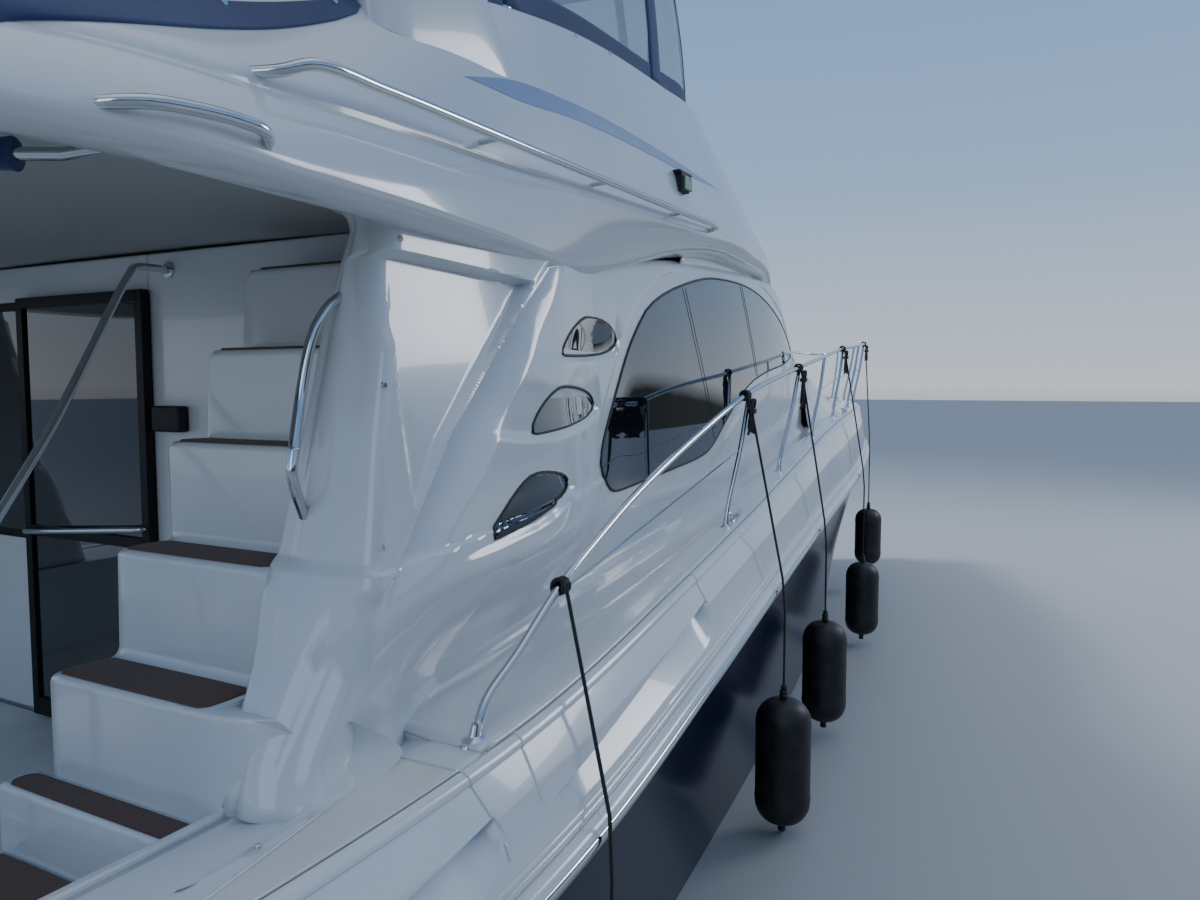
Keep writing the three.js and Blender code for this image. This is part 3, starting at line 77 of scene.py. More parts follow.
# Hazy summer sky: pale at the horizon, soft blue overhead, and a light ground.
world = bpy.data.worlds.new("sky")
world.use_nodes = True
bpy.context.scene.world = world
sky = world.node_tree
sky.nodes.clear()
aim = add(sky, "TexCoord")
parts = add(sky, "SeparateXYZ", links={0: (aim, "Generated")})
shades = add(sky, "ValToRGB", links={0: (add(sky, "MapRange", {"From Min": -1.0}, {0: (parts, 2)}), 0)})
for spot, code in ((0.0, "#6b6c6a"), (0.46, "#7c7e7d"), (0.5, "#dfe8f2"), (0.6, "#a9c8ee"), (0.8, "#6c9edf"),
                   (1.0, "#457bc9")):
    stop = shades.color_ramp.elements.new(spot)
    stop.color = linear(code)
for spare in (0, -1):
    shades.color_ramp.elements.remove(shades.color_ramp.elements[spare])
# The dock side: low grey-brown sheds with a ragged top, which the polished side mirrors below the sky.
ragged = add(sky, "TexNoise", {"Scale": 5.0, "Detail": 5.0}, {"Vector": (aim, "Generated")})
roofs = add(sky, "MapRange", {"From Min": -0.12, "From Max": -0.6, "To Min": -0.1, "To Max": 0.36}, {0: (parts, 1)})
uneven = add(sky, "Math", links={0: (ragged, 0), 1: (roofs, 0)}, operation="MULTIPLY")
above = add(sky, "Math", links={0: (parts, 2), 1: (uneven, 0)}, operation="SUBTRACT")
clear = add(sky, "MapRange", {"From Min": -0.01, "From Max": 0.02}, {0: (above, 0)})
sheds = add(sky, "ValToRGB", links={0: (ragged, 0)})
sheds.color_ramp.elements[0].color, sheds.color_ramp.elements[1].color = linear("#2b3033"), linear("#585e60")
view = add(sky, "Mix", links={0: (clear, 0), 6: (sheds, 0), 7: (shades, 0)}, data_type="RGBA")
dome = add(sky, "Background", {"Strength": 0.9}, {0: (view, 2)})
add(sky, "OutputWorld", links={0: (dome, 0)})

# Lamps: name, size, power in watts, where from, where to.
for name, size, power, source, target in (
        ("sun_side", 4.0, 2600, (7.0, 12.0, 15.0), (-1.0, 0.0, 2.0)),
        ("bow_side", 6.0, 700, (12.0, -11.0, 9.0), (1.0, 0.0, 2.0)),
        ("stern_side", 6.0, 120, (-15.0, -5.0, 6.0), (-5.0, 0.0, 2.0))):
    lamp = bpy.data.lights.new(name, "AREA")
    lamp.size, lamp.energy = size, power
    lit = bpy.data.objects.new(name, lamp)
    lit.location = source
    ray = np.subtract(target, source)
    lit.rotation_euler = (math.acos(-ray[2] / np.linalg.norm(ray)), 0, math.atan2(ray[1], ray[0]) - math.pi / 2)
    bpy.context.scene.collection.objects.link(lit)


def surface(name, code, roughness, **sockets):
    """A new material with its colour, roughness and other sockets of the Principled shader."""
    made = bpy.data.materials.new(name)
    made.use_nodes = True
    shader = made.node_tree.nodes["Principled BSDF"]
    shader.inputs["Base Color"].default_value = linear(code)
    shader.inputs["Roughness"].default_value = roughness
    for socket, value in sockets.items():
        shader.inputs[socket.replace("_", " ")].default_value = value
    return made


def patterned(made, kind, values, tones=(), ends=(0.0, 1.0), ranges=None, bump=(), mapping=None, **settings):
    """Lets one pattern on the piece's own coordinates vary a material: between two tones from the ends' lower to
    upper value, in each range's socket between its limits, and as a bump of (strength, metres, inverted)."""
    tree = made.node_tree
    shader = tree.nodes["Principled BSDF"]
    place = (tree.nodes.get("Texture Coordinate") or add(tree, "TexCoord"), "Object")
    if mapping:
        place = (add(tree, "Mapping", mapping, {"Vector": place}), 0)
    grain = {0: (add(tree, kind, values, {"Vector": place}, **settings), 0)}
    if tones:
        ramp = add(tree, "ValToRGB", links=grain)
        for stop, position, code in zip(ramp.color_ramp.elements, ends, tones):
            stop.position, stop.color = position, linear(code)
        tree.links.new(ramp.outputs[0], shader.inputs["Base Color"])
    for socket, (low, high) in (ranges or {}).items():
        spread = add(tree, "MapRange", {"To Min": low, "To Max": high}, grain)
        tree.links.new(spread.outputs[0], shader.inputs[socket])
    if bump:
        strength, depth, inverted = (*bump, False)[:3]
        relief = add(tree, "Bump", {"Strength": strength, "Distance": depth}, {"Height": grain[0]}, invert=inverted)
        tree.links.new(relief.outputs[0], shader.inputs["Normal"])
    return made


FLOOR_HALF = 150.0
floor_mesh = bpy.data.meshes.new("floor")
floor_mesh.from_pydata([(x * FLOOR_HALF, y * FLOOR_HALF, 0) for x, y in ((-1, -1), (1, -1), (1, 1), (-1, 1))],
                       [], [(0, 1, 2, 3)])
floor = bpy.data.objects.new("floor", floor_mesh)
bpy.context.scene.collection.objects.link(floor)
floor_mesh.materials.append(surface("pale_floor", "#a3a7a9", 0.6))


# ---- Hull
# A glass-fibre hull with a deep V, a chine flat and flared bows, laid up in a mould and finished in navy
# gel coat. Its upper edge takes the deck, with the rub rail over the joint.
HULL_LINES = np.array([  # x, rail half-beam and height, chine half-beam and height, keel height
    (-6.4, 2.08, 1.0, 1.85, -0.06, -0.56), (-5.2, 2.15, 1.04, 1.88, -0.06, -0.61),
    (-3.7, 2.155, 1.11, 1.85, -0.05, -0.68), (-2.5, 2.06, 1.215, 1.76, -0.04, -0.73),
    (-1.25, 1.945, 1.33, 1.65, -0.02, -0.76), (0.2, 1.805, 1.45, 1.51, 0.02, -0.77),
    (1.4, 1.685, 1.53, 1.38, 0.07, -0.76), (2.6, 1.56, 1.61, 1.21, 0.13, -0.72),
    (4.1, 1.33, 1.71, 0.91, 0.29, -0.58), (5.2, 1.07, 1.775, 0.62, 0.45, -0.38),
    (6.1, 0.74, 1.82, 0.34, 0.7, -0.02), (6.75, 0.4, 1.85, 0.15, 1.04, 0.52),
    (7.1, 0.13, 1.865, 0.05, 1.4, 1.15)])
STEM = 0.11  # the stem's nose beyond the last line


def faired(lines, x):
    """Values at x of a table of lines, by cubic Hermite curves whose slope at a line is the distance-weighted
    mean of the slopes on its two sides."""
    at, values = lines[:, 0], lines[:, 1:]
    step, rise = np.diff(at)[:, None], np.diff(values, axis=0)
    slope = rise / step
    middle = (slope[1:] * step[:-1] + slope[:-1] * step[1:]) / (step[1:] + step[:-1])
    tangent = np.vstack([slope[:1], middle, slope[-1:]])
    x = np.clip(np.atleast_1d(x).astype(float), at[0], at[-1])
    i = np.clip(np.searchsorted(at, x, side="right") - 1, 0, len(at) - 2)
    h = step[i]
    t = (x[:, None] - at[i, None]) / h
    return ((2 * t**3 - 3 * t**2 + 1) * values[i] + (t**3 - 2 * t**2 + t) * h * tangent[i]
            + (3 * t**2 - 2 * t**3) * values[i + 1] + (t**3 - t**2) * h * tangent[i + 1])


def smooth(value, low, high):
    """Smoothstep: 0 below low, 1 above high, and 3 t^2 - 2 t^3 between."""
    t = np.clip((value - low) / (high - low), 0, 1)
    return t * t * (3 - 2 * t)


def fitted(name, points, faces, material, nodes, body, weld=0.0):
    """One piece: its points within weld of each other become one, its faces turn outwards and shade smoothly, and
    it rides on its body, takes its material and hides the CAD nodes that it stands for, named in one string."""
    mesh = bpy.data.meshes.new(name)
    mesh.from_pydata(points, [], faces)
    shape = bmesh.new()
    shape.from_mesh(mesh)
    if weld:
        bmesh.ops.remove_doubles(shape, verts=shape.verts, dist=weld)
        bmesh.ops.dissolve_degenerate(shape, edges=shape.edges, dist=weld)
    bmesh.ops.recalc_face_normals(shape, faces=shape.faces)
    shape.to_mesh(mesh)
    shape.free()
    mesh.polygons.foreach_set("use_smooth", np.ones(len(mesh.polygons), bool))
    mesh.materials.append(material)
    made = bpy.data.objects.new(name, mesh)
    bpy.context.scene.collection.objects.link(made)
    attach(made, body)
    if nodes:
        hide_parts(*nodes.split())
    return made


def moulded(name, grids, material, nodes="", body="boat", wall=0.0, crease=35, weld=1e-4):
    """One piece from grids of points (rows, columns, 3): each cell is a quad, edges sharper than crease degrees
    stay sharp, and wall gives the thickness inwards."""
    faces, start = [], 0
    for grid in grids:
        rows, columns = np.shape(grid)[:2]
        number = start + np.arange(rows * columns).reshape(rows, columns)
        faces.append(np.stack([number[:-1, :-1], number[1:, :-1], number[1:, 1:], number[:-1, 1:]], -1).reshape(-1, 4))
        start += rows * columns
    points = np.vstack([np.reshape(grid, (-1, 3)) for grid in grids])
    made = fitted(name, points.tolist(), np.vstack(faces).tolist(), material, nodes, body, weld)
    made.data.set_sharp_from_angle(angle=math.radians(crease))
    if wall:
        thick = made.modifiers.new("wall", "SOLIDIFY")
        thick.thickness, thick.offset = wall, -1
    return made


def xyz(x, y, z):
    """Points from their x, y and z, each of them one number or a whole array."""
    return np.stack(np.broadcast_arrays(x, y, z), -1)


def rows_at(x, y, z):
    """Rows of points across the boat, from the x of each row and the y and z of its points."""
    return xyz(np.asarray(x)[:, None], y, z)


MIRROR = np.array([1, -1, 1])
SIDES = (("starboard", MIRROR), ("port", 1))


def both(*grids):
    """Each grid of the port side, and its mirror image to starboard."""
    return [grid * side for grid in grids for side in (1, MIRROR)]


def hull_section(x):
    """Port half of the hull at each x as (x, y, z) rows: a keel-to-chine panel, the chine flat, and topsides
    whose half-beam runs from chine to rail as t - k t (1 - t), k growing towards the bow."""
    rail, rail_z, chine, chine_z, keel_z = faired(HULL_LINES, x).T[:, :, None]
    hollow = np.maximum(0, (x[:, None] + 1.0) / 8.0)
    s = np.linspace(0, 1, 9)[None]
    bottom_y, bottom_z = chine * s, keel_z + (chine_z - keel_z) * s - 0.018 * 4 * s * (1 - s)
    t = np.linspace(0, 1, 17)[None]
    side_y = chine + 0.045 + (rail - chine - 0.045) * (t - hollow * t * (1 - t))
    side_z = chine_z + 0.012 + (rail_z - chine_z - 0.012) * t
    return rows_at(x, np.hstack([bottom_y, side_y]), np.hstack([bottom_z, side_z]))


def nosed(rings, reach):
    """Closes a bow: copies of the last ring whose width falls as a cosine while x grows as a sine of reach."""
    last = rings[-1]
    turns = np.linspace(0, math.pi / 2, 7)[1:]
    return np.concatenate([rings, [last * [1, math.cos(a), 1] + [math.sin(a) * reach, 0, 0] for a in turns]])


# Gel coat out of a polished mould is a thick glossy skin, with a faint long-wave print of the laminate.
gel_navy = patterned(surface("navy_gel_coat", "#0a1230", 0.16, IOR=1.28), "TexNoise", {"Scale": 1.6, "Detail": 2.0},
                     ("#080f28", "#0e183a"), bump=(0.04, 0.02))
half = nosed(hull_section(np.linspace(-6.4, 7.1, 136)), STEM)
transom = np.stack([half[0] * MIRROR, half[0] * [1, 0, 1], half[0]])
moulded("hull_skin", both(half) + [transom], gel_navy, "hull", wall=0.028)


# ---- Deck moulding
# White gel-coated glass fibre over the hull: a bulwark with sculpted pockets, a rolled gunwale, side decks
# with moulded non-skid, and the raised trunk forward. It is screwed down inside the rub rail.
DECK_LINES = np.array([  # x, gunwale and its height, inner edge and its height, trunk edge, its height, crown
    (-6.4, 1.99, 1.44, 1.64, 1.445, 1.5, 1.445, 1.45), (-5.2, 2.05, 1.45, 1.64, 1.455, 1.5, 1.455, 1.46),
    (-3.7, 2.05, 1.48, 1.64, 1.485, 1.5, 1.485, 1.49), (-2.5, 1.965, 1.6, 1.64, 1.58, 1.5, 1.58, 1.59),
    (-1.25, 1.86, 1.74, 1.56, 1.7, 1.45, 1.7, 1.71), (0.2, 1.73, 1.92, 1.45, 1.85, 1.38, 1.85, 1.88),
    (1.4, 1.61, 2.06, 1.34, 1.99, 1.29, 2.01, 2.05), (2.3, 1.52, 2.14, 1.25, 2.07, 1.15, 2.48, 2.56),
    (3.4, 1.38, 2.19, 1.13, 2.12, 0.96, 2.44, 2.52), (4.5, 1.19, 2.225, 0.94, 2.16, 0.72, 2.33, 2.39),
    (5.3, 0.96, 2.24, 0.7, 2.185, 0.48, 2.22, 2.24), (6.1, 0.68, 2.25, 0.48, 2.21, 0.3, 2.22, 2.23),
    (6.75, 0.36, 2.255, 0.23, 2.23, 0.12, 2.235, 2.24), (7.06, 0.11, 2.255, 0.06, 2.24, 0.03, 2.245, 2.248)])
GUNWALE_ROLL = 0.035
POCKETS = (  # sculpted pockets: x range, height of the fold above the rail at each end, depth
    (-3.84, -2.27, 0.175, 0.27, 0.09), (-6.1, -4.05, 0.16, 0.25, 0.08))
POCKET_FOOT = 0.118  # height of the pockets' lower edge above the rail
ROWS_BETWEEN = (24, 2, 14, 2, 22)  # rows of the bulwark between rail, foot, pocket, fold, its step and gunwale


# White gel coat: a polished skin over a slightly uneven laminate, paler and darker by a shade.
gel_white = patterned(surface("white_gel_coat", "#dfe2e3", 0.16, IOR=1.5, Coat_Weight=0.5, Coat_Roughness=0.03),
                      "TexNoise", {"Scale": 0.9, "Detail": 3.0}, ("#d2d6d8", "#dfe2e3"), (0.35, 0.7),
                      {"Roughness": (0.1, 0.22)}, (0.03, 0.02))
# Moulded non-skid: a fine diamond grain, about 9 mm from point to point, drawn at 14 mm so that it shows.
non_skid = patterned(surface("non_skid_gel_coat", "#dfdfda", 0.55), "TexVoronoi", {"Scale": 70.0, "Randomness": 0.0},
                     bump=(0.5, 0.002, True), mapping={"Rotation": (0, 0, math.radians(45))})
patterned(non_skid, "TexNoise", {"Scale": 5.0, "Detail": 4.0}, ("#c9c9c3", "#e2e2dd"))


def bulwark(x):
    """Port bulwark from the rail to the gunwale roll, as (x, y, z) rows. Its half-beam falls from rail to
    gunwale and two half-round beads run along its foot. Rows of the grid follow each pocket's lower edge,
    whose ends round up as quarter ellipses, and its fold: between them the face slopes in to the pocket's
    depth, and above the fold it steps straight out again."""
    rail, rail_z = faired(HULL_LINES, x)[:, :2].T[:, :, None]
    gunwale, gunwale_z = faired(DECK_LINES, x)[:, :2].T[:, :, None]
    top = (gunwale_z - GUNWALE_ROLL - rail_z)[:, 0]
    low, fold, deep = np.full(len(x), POCKET_FOOT), np.full(len(x), 0.21), np.zeros(len(x))
    for start, end, fold_aft, fold_fore, depth in POCKETS:
        here = (x >= start) & (x <= end)
        along = np.clip((x - start) / (end - start), 0, 1)
        fold = np.where(here, fold_aft + (fold_fore - fold_aft) * along, fold)
        aft_lift, fore_lift = (1 - np.sqrt(1 - np.clip(1 - to_end / size, 0, 1) ** 2)
                               for to_end, size in ((x - start, 0.2), (end - x, 0.16)))
        low = np.where(here, low + (fold - low) * np.clip(aft_lift + fore_lift, 0, 1), low)
        faded = smooth(x, start, start + 0.3) * (1 - smooth(x, end - 0.03, end))
        deep = deep + depth * here * (0.25 + 0.75 * along) * faded
    marks = np.stack(np.broadcast_arrays(0, 0.105, low, fold, fold + 0.007, top), 1)
    part = np.repeat(np.arange(5), ROWS_BETWEEN)
    step = np.concatenate([np.arange(n) / n for n in ROWS_BETWEEN])
    height = marks[:, part] + (marks[:, part + 1] - marks[:, part]) * step
    height = np.concatenate([height, marks[:, -1:]], 1)
    sunk = np.append(np.where(part == 2, step, np.where(part == 3, 1 - step, 0.0)), 0.0)
    v = height / top[:, None]
    inward = np.interp(v, (0, 0.3, 0.72, 1), (0.0, 0.03, 0.5, 1.0))
    y = rail - 0.004 - (rail - gunwale) * inward + 0.006 * np.sin(math.pi * v)
    for foot, size in ((0.062, 0.009), (0.086, 0.008)):
        y = y + size * np.sqrt(np.clip(1 - ((height - foot) / 0.012) ** 2, 0, 1))
    return rows_at(x, y - deep[:, None] * sunk, rail_z + height)


def gunwale_roll(x):
    """From the bulwark's top over a quarter round to the gunwale's flat."""
    gunwale, gunwale_z = faired(DECK_LINES, x)[:, :2].T[:, :, None]
    turn = np.linspace(0, math.pi / 2, 9)[None]
    return rows_at(x, gunwale - GUNWALE_ROLL * (1 - np.cos(turn)), gunwale_z - GUNWALE_ROLL * (1 - np.sin(turn)))


def side_deck(x):
    """From the gunwale's flat, over a low toe rise, down to the side deck and its cove at the house."""
    gunwale, gunwale_z, inner, inner_z = faired(DECK_LINES, x)[:, :4].T[:, :, None]
    t = np.linspace(0, 1, 17)[None]
    outer = gunwale - GUNWALE_ROLL
    flat = outer + (inner + (gunwale - inner) * 0.45 - outer) * np.minimum(t / 0.4, 1)
    y = np.where(t < 0.4, flat, flat + (inner - flat) * (t - 0.4) / 0.6)
    return rows_at(x, y, gunwale_z + (inner_z - gunwale_z) * smooth(t, 0.4, 0.62))


def trunk(x):
    """From the side deck up the trunk's coved side and over its crowned top to the centreline."""
    inner, inner_z, side, side_z, crown = faired(DECK_LINES, x)[:, 2:].T[:, :, None]
    t = np.linspace(0, 1, 41)[None]
    rise = np.clip(t / 0.3, 0, 1)
    climb = smooth(rise, 0, 1)
    y = np.where(t < 0.3, inner + (side - inner) * rise, side * (1 - (t - 0.3) / 0.7))
    z = np.where(t < 0.3, inner_z + (side_z - inner_z) * climb, side_z + (crown - side_z) * (1 - (y / side) ** 2))
    return rows_at(x, y, z)


COCKPIT_END = -3.98  # the side deck starts here, where the coaming's cap ends
band_x = np.concatenate([np.linspace(-6.4, -2.0, 260), np.linspace(-1.97, 7.06, 150)])
deck_x = np.linspace(COCKPIT_END, 7.06, 160)
trunk_x = np.linspace(2.12, 7.06, 90)
band = np.concatenate([bulwark(band_x), gunwale_roll(band_x)[:, 1:]], 1)
band = nosed(band, STEM + 0.04)
walk = side_deck(deck_x)
walk = nosed(np.concatenate([walk, walk[:, -1:] - [0, 1, 0] * np.minimum(0.2, walk[:, -1:, 1:2])], 1), STEM + 0.04)
top = nosed(trunk(trunk_x), STEM + 0.04)
coaming_x = np.linspace(-6.4, COCKPIT_END, 60)
COAMING_IN = 1.86  # inner edge of the coaming beside the stair
edge = gunwale_roll(coaming_x)[:, -1]
steps = np.linspace(0, 1, 8)[None, :, None]
inner_edge = np.stack([coaming_x, np.full(60, COAMING_IN), edge[:, 2] + 0.004], -1)
ledge = np.stack([coaming_x, np.full(60, 1.64), edge[:, 2] - 0.03], -1)
cap = edge[:, None] + (inner_edge - edge)[:, None] * steps
shelf = inner_edge[:, None] + (ledge - inner_edge)[:, None] * steps
meet = np.concatenate([cap[-1], shelf[-1, 1:]])
deck_under = np.interp(-meet[:, 1], -walk[0, :, 1], walk[0, :, 2]) + 0.001
meeting = np.stack([meet, np.column_stack([meet[:, :2], deck_under])])
moulded("deck_moulding", both(walk, top, cap, shelf, meeting), gel_white, "deck", wall=0.012)
for hand, side in SIDES:
    moulded(f"bulwark_{hand}", [band * side], gel_white, "deck", wall=0.012)


def deck_top(x, y):
    """Height of the port deck at x and y: side deck forward, coaming cap and shelf beside the cockpit."""
    gunwale_z = faired(DECK_LINES, x)[:, 1]
    walk_rows = side_deck(np.atleast_1d(x).astype(float))
    inner = np.broadcast_to(y, len(walk_rows))
    forward = np.array([np.interp(-b, -row[:, 1], row[:, 2]) for row, b in zip(walk_rows, inner)])
    beside = gunwale_z + 0.004 - 0.034 * np.clip((COAMING_IN - y) / (COAMING_IN - 1.64), 0, 1)
    return np.where(np.asarray(x) < COCKPIT_END, beside, forward)


# Non-skid pads: grains moulded between plain margins, each with a fine raised border. Each: its inner
# edge in x and y, and the plain margin left inside the gunwale.
PADS_AT = (
    (((-6.25, 1.955), (-4.78, 1.94), (-4.31, 1.86), (-4.15, 1.79), (-4.1, 1.775)), 0.03),
    (((-3.86, 1.83), (-3.83, 1.79), (-3.48, 1.732), (-3.03, 1.697), (-2.6, 1.693), (-2.33, 1.692)), 0.05),
    (((-2.24, 1.69), (-2.07, 1.685), (-1.2, 1.61), (0.3, 1.49), (1.4, 1.37), (3.4, 1.16), (5.0, 0.82), (5.1, 0.9)),
     0.05))


def rim_of(grid):
    """The points round the edge of a grid, as one open ring."""
    return np.concatenate([grid[:-1, 0], grid[-1, :-1], grid[:0:-1, -1], grid[0, :0:-1]])


pads, borders = [], []
for inner, margin in PADS_AT:
    inner = np.array(inner)
    pad_x = np.linspace(inner[0, 0], inner[-1, 0], 90)
    in_y = np.interp(pad_x, *inner.T)
    out_y = faired(DECK_LINES, pad_x)[:, 0] - GUNWALE_ROLL - margin + 0.03
    across = np.linspace(0, 1, 12)
    pad_y = in_y[:, None] + (out_y - in_y)[:, None] * across
    pad_z = np.stack([deck_top(pad_x, row) for row in pad_y.T], 1) + 0.0016
    grid = rows_at(pad_x, pad_y, pad_z)
    pads += both(grid)
    borders.append(rim_of(grid))
moulded("deck_non_skid_pads", pads, non_skid, wall=0.002)

# The moulding's after face stands on the hull's transom, with a gap in it for the gate.
after = np.concatenate([band[0], cap[0][1:], shelf[0][1:]])
after = after[after[:, 2] > 0.99]
inward = np.minimum(after, [0, 1.45, 9])
moulded("deck_after_face", both(np.stack([after, inward, inward * [1, 1, 0] + [0, 0, 0.985]])), gel_white, wall=0.01)


# ---- House side and wing
# One white moulding on each side: the salon side with its window, running aft into the buttress that
# carries the flybridge. The buttress has a polished panel sunk behind a swept ridge, and a foot that
# flows into the coaming.
HOUSE_LINES = np.array([  # x, half-beam at the base, at the sill, sill height, at the brow, brow height
    (-3.6, 1.62, 1.64, 2.02, 1.6, 2.93), (-2.8, 1.62, 1.625, 2.02, 1.56, 2.96), (-1.3, 1.56, 1.56, 2.06, 1.48, 3.13),
    (0.0, 1.46, 1.47, 2.33, 1.4, 3.2), (0.7, 1.39, 1.4, 2.48, 1.33, 3.21), (1.0, 1.36, 1.365, 2.52, 1.29, 3.16),
    (1.9, 1.22, 1.225, 2.56, 1.1, 2.79), (2.38, 1.11, 1.11, 2.51, 1.04, 2.575)])
WING_LINES = np.array([(-4.6, 1.9, 1.84), (-3.9, 1.89, 1.8), (-3.3, 1.85, 1.74), (-2.6, 1.7, 1.64)])
PILLAR = np.array([  # height, x of the outer and the inner corner of the aft face, y of the inner corner
    (1.4, -4.5, -4.52, 1.6), (1.6, -4.38, -4.47, 1.6), (1.75, -4.29, -4.4, 1.59), (1.9, -4.275, -4.33, 1.55),
    (1.985, -4.262, -4.28, 1.53), (2.01, -4.245, -4.255, 1.535), (2.29, -4.2, -4.17, 1.535), (2.6, -4.131, -4.08, 1.54),
    (2.92, -4.07, -4.01, 1.6)])
RIDGE_IN = np.array([(1.55, -4.6), (1.82, -4.37), (2.04, -4.12), (2.3, -3.9), (2.48, -3.69), (2.74, -3.36), (3, -3.0)])
RIDGE_OUT = np.array([(1.55, -4.2), (1.88, -4.06), (2.06, -3.9), (2.18, -3.74), (2.34, -3.58), (2.57, -3.34),
                      (2.78, -3.12), (3.0, -2.85)])
PANEL_EDGE = np.array([(1.9, -4.06), (2.365, -4.089), (2.6, -4.094), (2.805, -4.066)])
PANEL_TOP, PANEL_DEPTH, GROOVE_DEPTH = 2.8, 0.05, 0.1
FOOT = np.array([  # where the side meets the deck, x and half-beam
    (-4.6, 1.87), (-4.31, 1.845), (-4.13, 1.78), (-4.06, 1.76), (-3.85, 1.66), (-3.68, 1.605), (-3.45, 1.595),
    (-3.07, 1.568), (-2.81, 1.53), (-2.36, 1.508), (-1.8, 1.5), (-1.1, 1.49), (0.2, 1.43)])
LEDGES = (  # moulded ledge under each port, x and z from its aft end
    ((-3.28, 2.553), (-3.014, 2.547), (-2.699, 2.555), (-2.475, 2.568), (-2.359, 2.59), (-2.3, 2.64)),
    ((-3.65, 2.297), (-3.437, 2.279), (-3.283, 2.279), (-3.087, 2.287), (-2.791, 2.305), (-2.62, 2.35)),
    ((-3.9, 1.96), (-3.706, 1.973), (-3.586, 1.985), (-3.451, 1.996), (-3.325, 2.015), (-3.221, 2.042), (-3.09, 2.08)))
WINDOW = np.array([  # the salon window's outline, x and z, aft lower corner first
    (-2.61, 2.16), (-2.57, 2.06), (-2.48, 1.99), (-2.3, 1.985), (-1.7, 2.025), (-1.27, 2.05), (-1.05, 2.09),
    (-0.733, 2.257), (-0.256, 2.457), (0.3, 2.55), (0.92, 2.605), (1.38, 2.69), (1.38, 2.76), (1.0, 2.92), (0.39, 3.06),
    (-0.1, 3.105), (-0.6, 3.095), (-1.06, 3.06), (-1.83, 2.88), (-2.12, 2.68), (-2.34, 2.45)])


def side_y(x, z):
    """Port half-beam of the side at x and z. The house runs straight from base to sill to brow; the wing
    runs straight from 1.9 to 3.0 up, and smoothstep takes one into the other over a metre. Behind the
    ridge a groove drops at once and climbs forward; aft of it the panel sinks more with height. A ledge
    stands proud below, and under it the side tucks in to the foot line on the deck with a small cove."""
    base, sill, sill_z, brow, brow_z = faired(HOUSE_LINES, x.ravel()).T.reshape(5, *x.shape)
    up = np.clip((z - sill_z) / (brow_z - sill_z), -0.2, 1.05)
    below = np.clip((z - 1.4) / (sill_z - 1.4), -0.2, 1)
    house = np.where(z > sill_z, sill + (brow - sill) * up + 0.012 * 4 * up * (1 - up), base + (sill - base) * below)
    low, high = faired(WING_LINES, x.ravel()).T.reshape(2, *x.shape)
    wing = low + (high - low) * np.clip((z - 1.9) / 1.1, 0, 1)
    y = wing + (house - wing) * smooth(x, -3.15, -2.15)
    inner, outer = np.interp(z, *RIDGE_IN.T), np.interp(z, *RIDGE_OUT.T)
    foot = smooth(z, 1.8, 2.15)
    across = np.clip((x - inner) / (outer - inner), 0, 1)
    groove = smooth(x, inner - 0.006, inner + 0.07) * (1 - across) ** 1.2 * (x < outer)
    y = y - GROOVE_DEPTH * groove * foot * (1 - 0.55 * smooth(z, 2.5, 2.9))
    edge = np.interp(z, *PANEL_EDGE.T)
    tilt = np.clip((z - 2.05) / (PANEL_TOP - 2.05), 0, 1)
    panel = smooth(x, edge - 0.012, edge + 0.014) * (1 - smooth(x, inner - 0.045, inner - 0.004))
    panel = panel * (1 - smooth(z, PANEL_TOP - 0.02, PANEL_TOP))
    y = y - PANEL_DEPTH * tilt * panel
    y = y + 0.004 * np.exp(-((x - inner) / 0.02) ** 2) * foot
    ledge_z = np.interp(x, (-4.5, -4.2, -3.9, -3.3, -2.6), (2.0, 1.99, 2.01, 2.055, 2.06))
    y = y + 0.016 * (1 - smooth(z, ledge_z - 0.01, ledge_z)) * (1 - smooth(x, -2.9, -2.4))
    for line in LEDGES:
        at, height = np.array(line).T
        above = z - np.interp(x, at, height)
        there = smooth(x, at[0] - 0.1, at[0] + 0.15) * (1 - smooth(x, at[-1] - 0.03, at[-1] + 0.04))
        y = y - 0.014 * there * smooth(above, -0.014, 0.012) * (1 - smooth(above, 0.03, 0.21))
    deck_z = np.interp(x, DECK_LINES[:, 0], DECK_LINES[:, 4])
    tuck = smooth(1.97 - z, 0, 1.97 - deck_z) * (1 - smooth(x, -1.4, 0.6))
    y = y + (np.interp(x, *FOOT.T) - y) * tuck
    return y + 0.035 * np.clip(1 - (z - deck_z) / 0.07, 0, 1) ** 2


def rounded_rim(outline, offset=0.0, count=60, cuts=1):
    """A closed outline of (x, z), anticlockwise, faired and moved outwards by offset: each cut takes its corners
    off at a quarter and three quarters of each side, then the curve is resampled by length."""
    ring = np.array(outline, float)
    for _ in range(cuts):
        after = np.roll(ring, -1, 0)
        ring = np.stack([0.75 * ring + 0.25 * after, 0.25 * ring + 0.75 * after], 1).reshape(-1, 2)
    ring = np.vstack([ring, ring[:1]])
    length = np.concatenate([[0], np.cumsum(np.hypot(*np.diff(ring, axis=0).T))])
    at = np.linspace(0, length[-1], count + 1)
    ring = np.stack([np.interp(at, length, ring[:, k]) for k in (0, 1)], 1)
    turn = np.roll(ring[:-1], -1, 0) - np.roll(ring[:-1], 1, 0)
    turn = np.vstack([turn, turn[:1]])
    turn /= np.hypot(*turn.T)[:, None]
    return ring + offset * np.stack([turn[:, 1], -turn[:, 0]], 1)


def window_rim(offset=0.0):
    """The salon window's outline, faired with two cuts and moved outwards by offset."""
    return rounded_rim(WINDOW, offset, 160, 2)


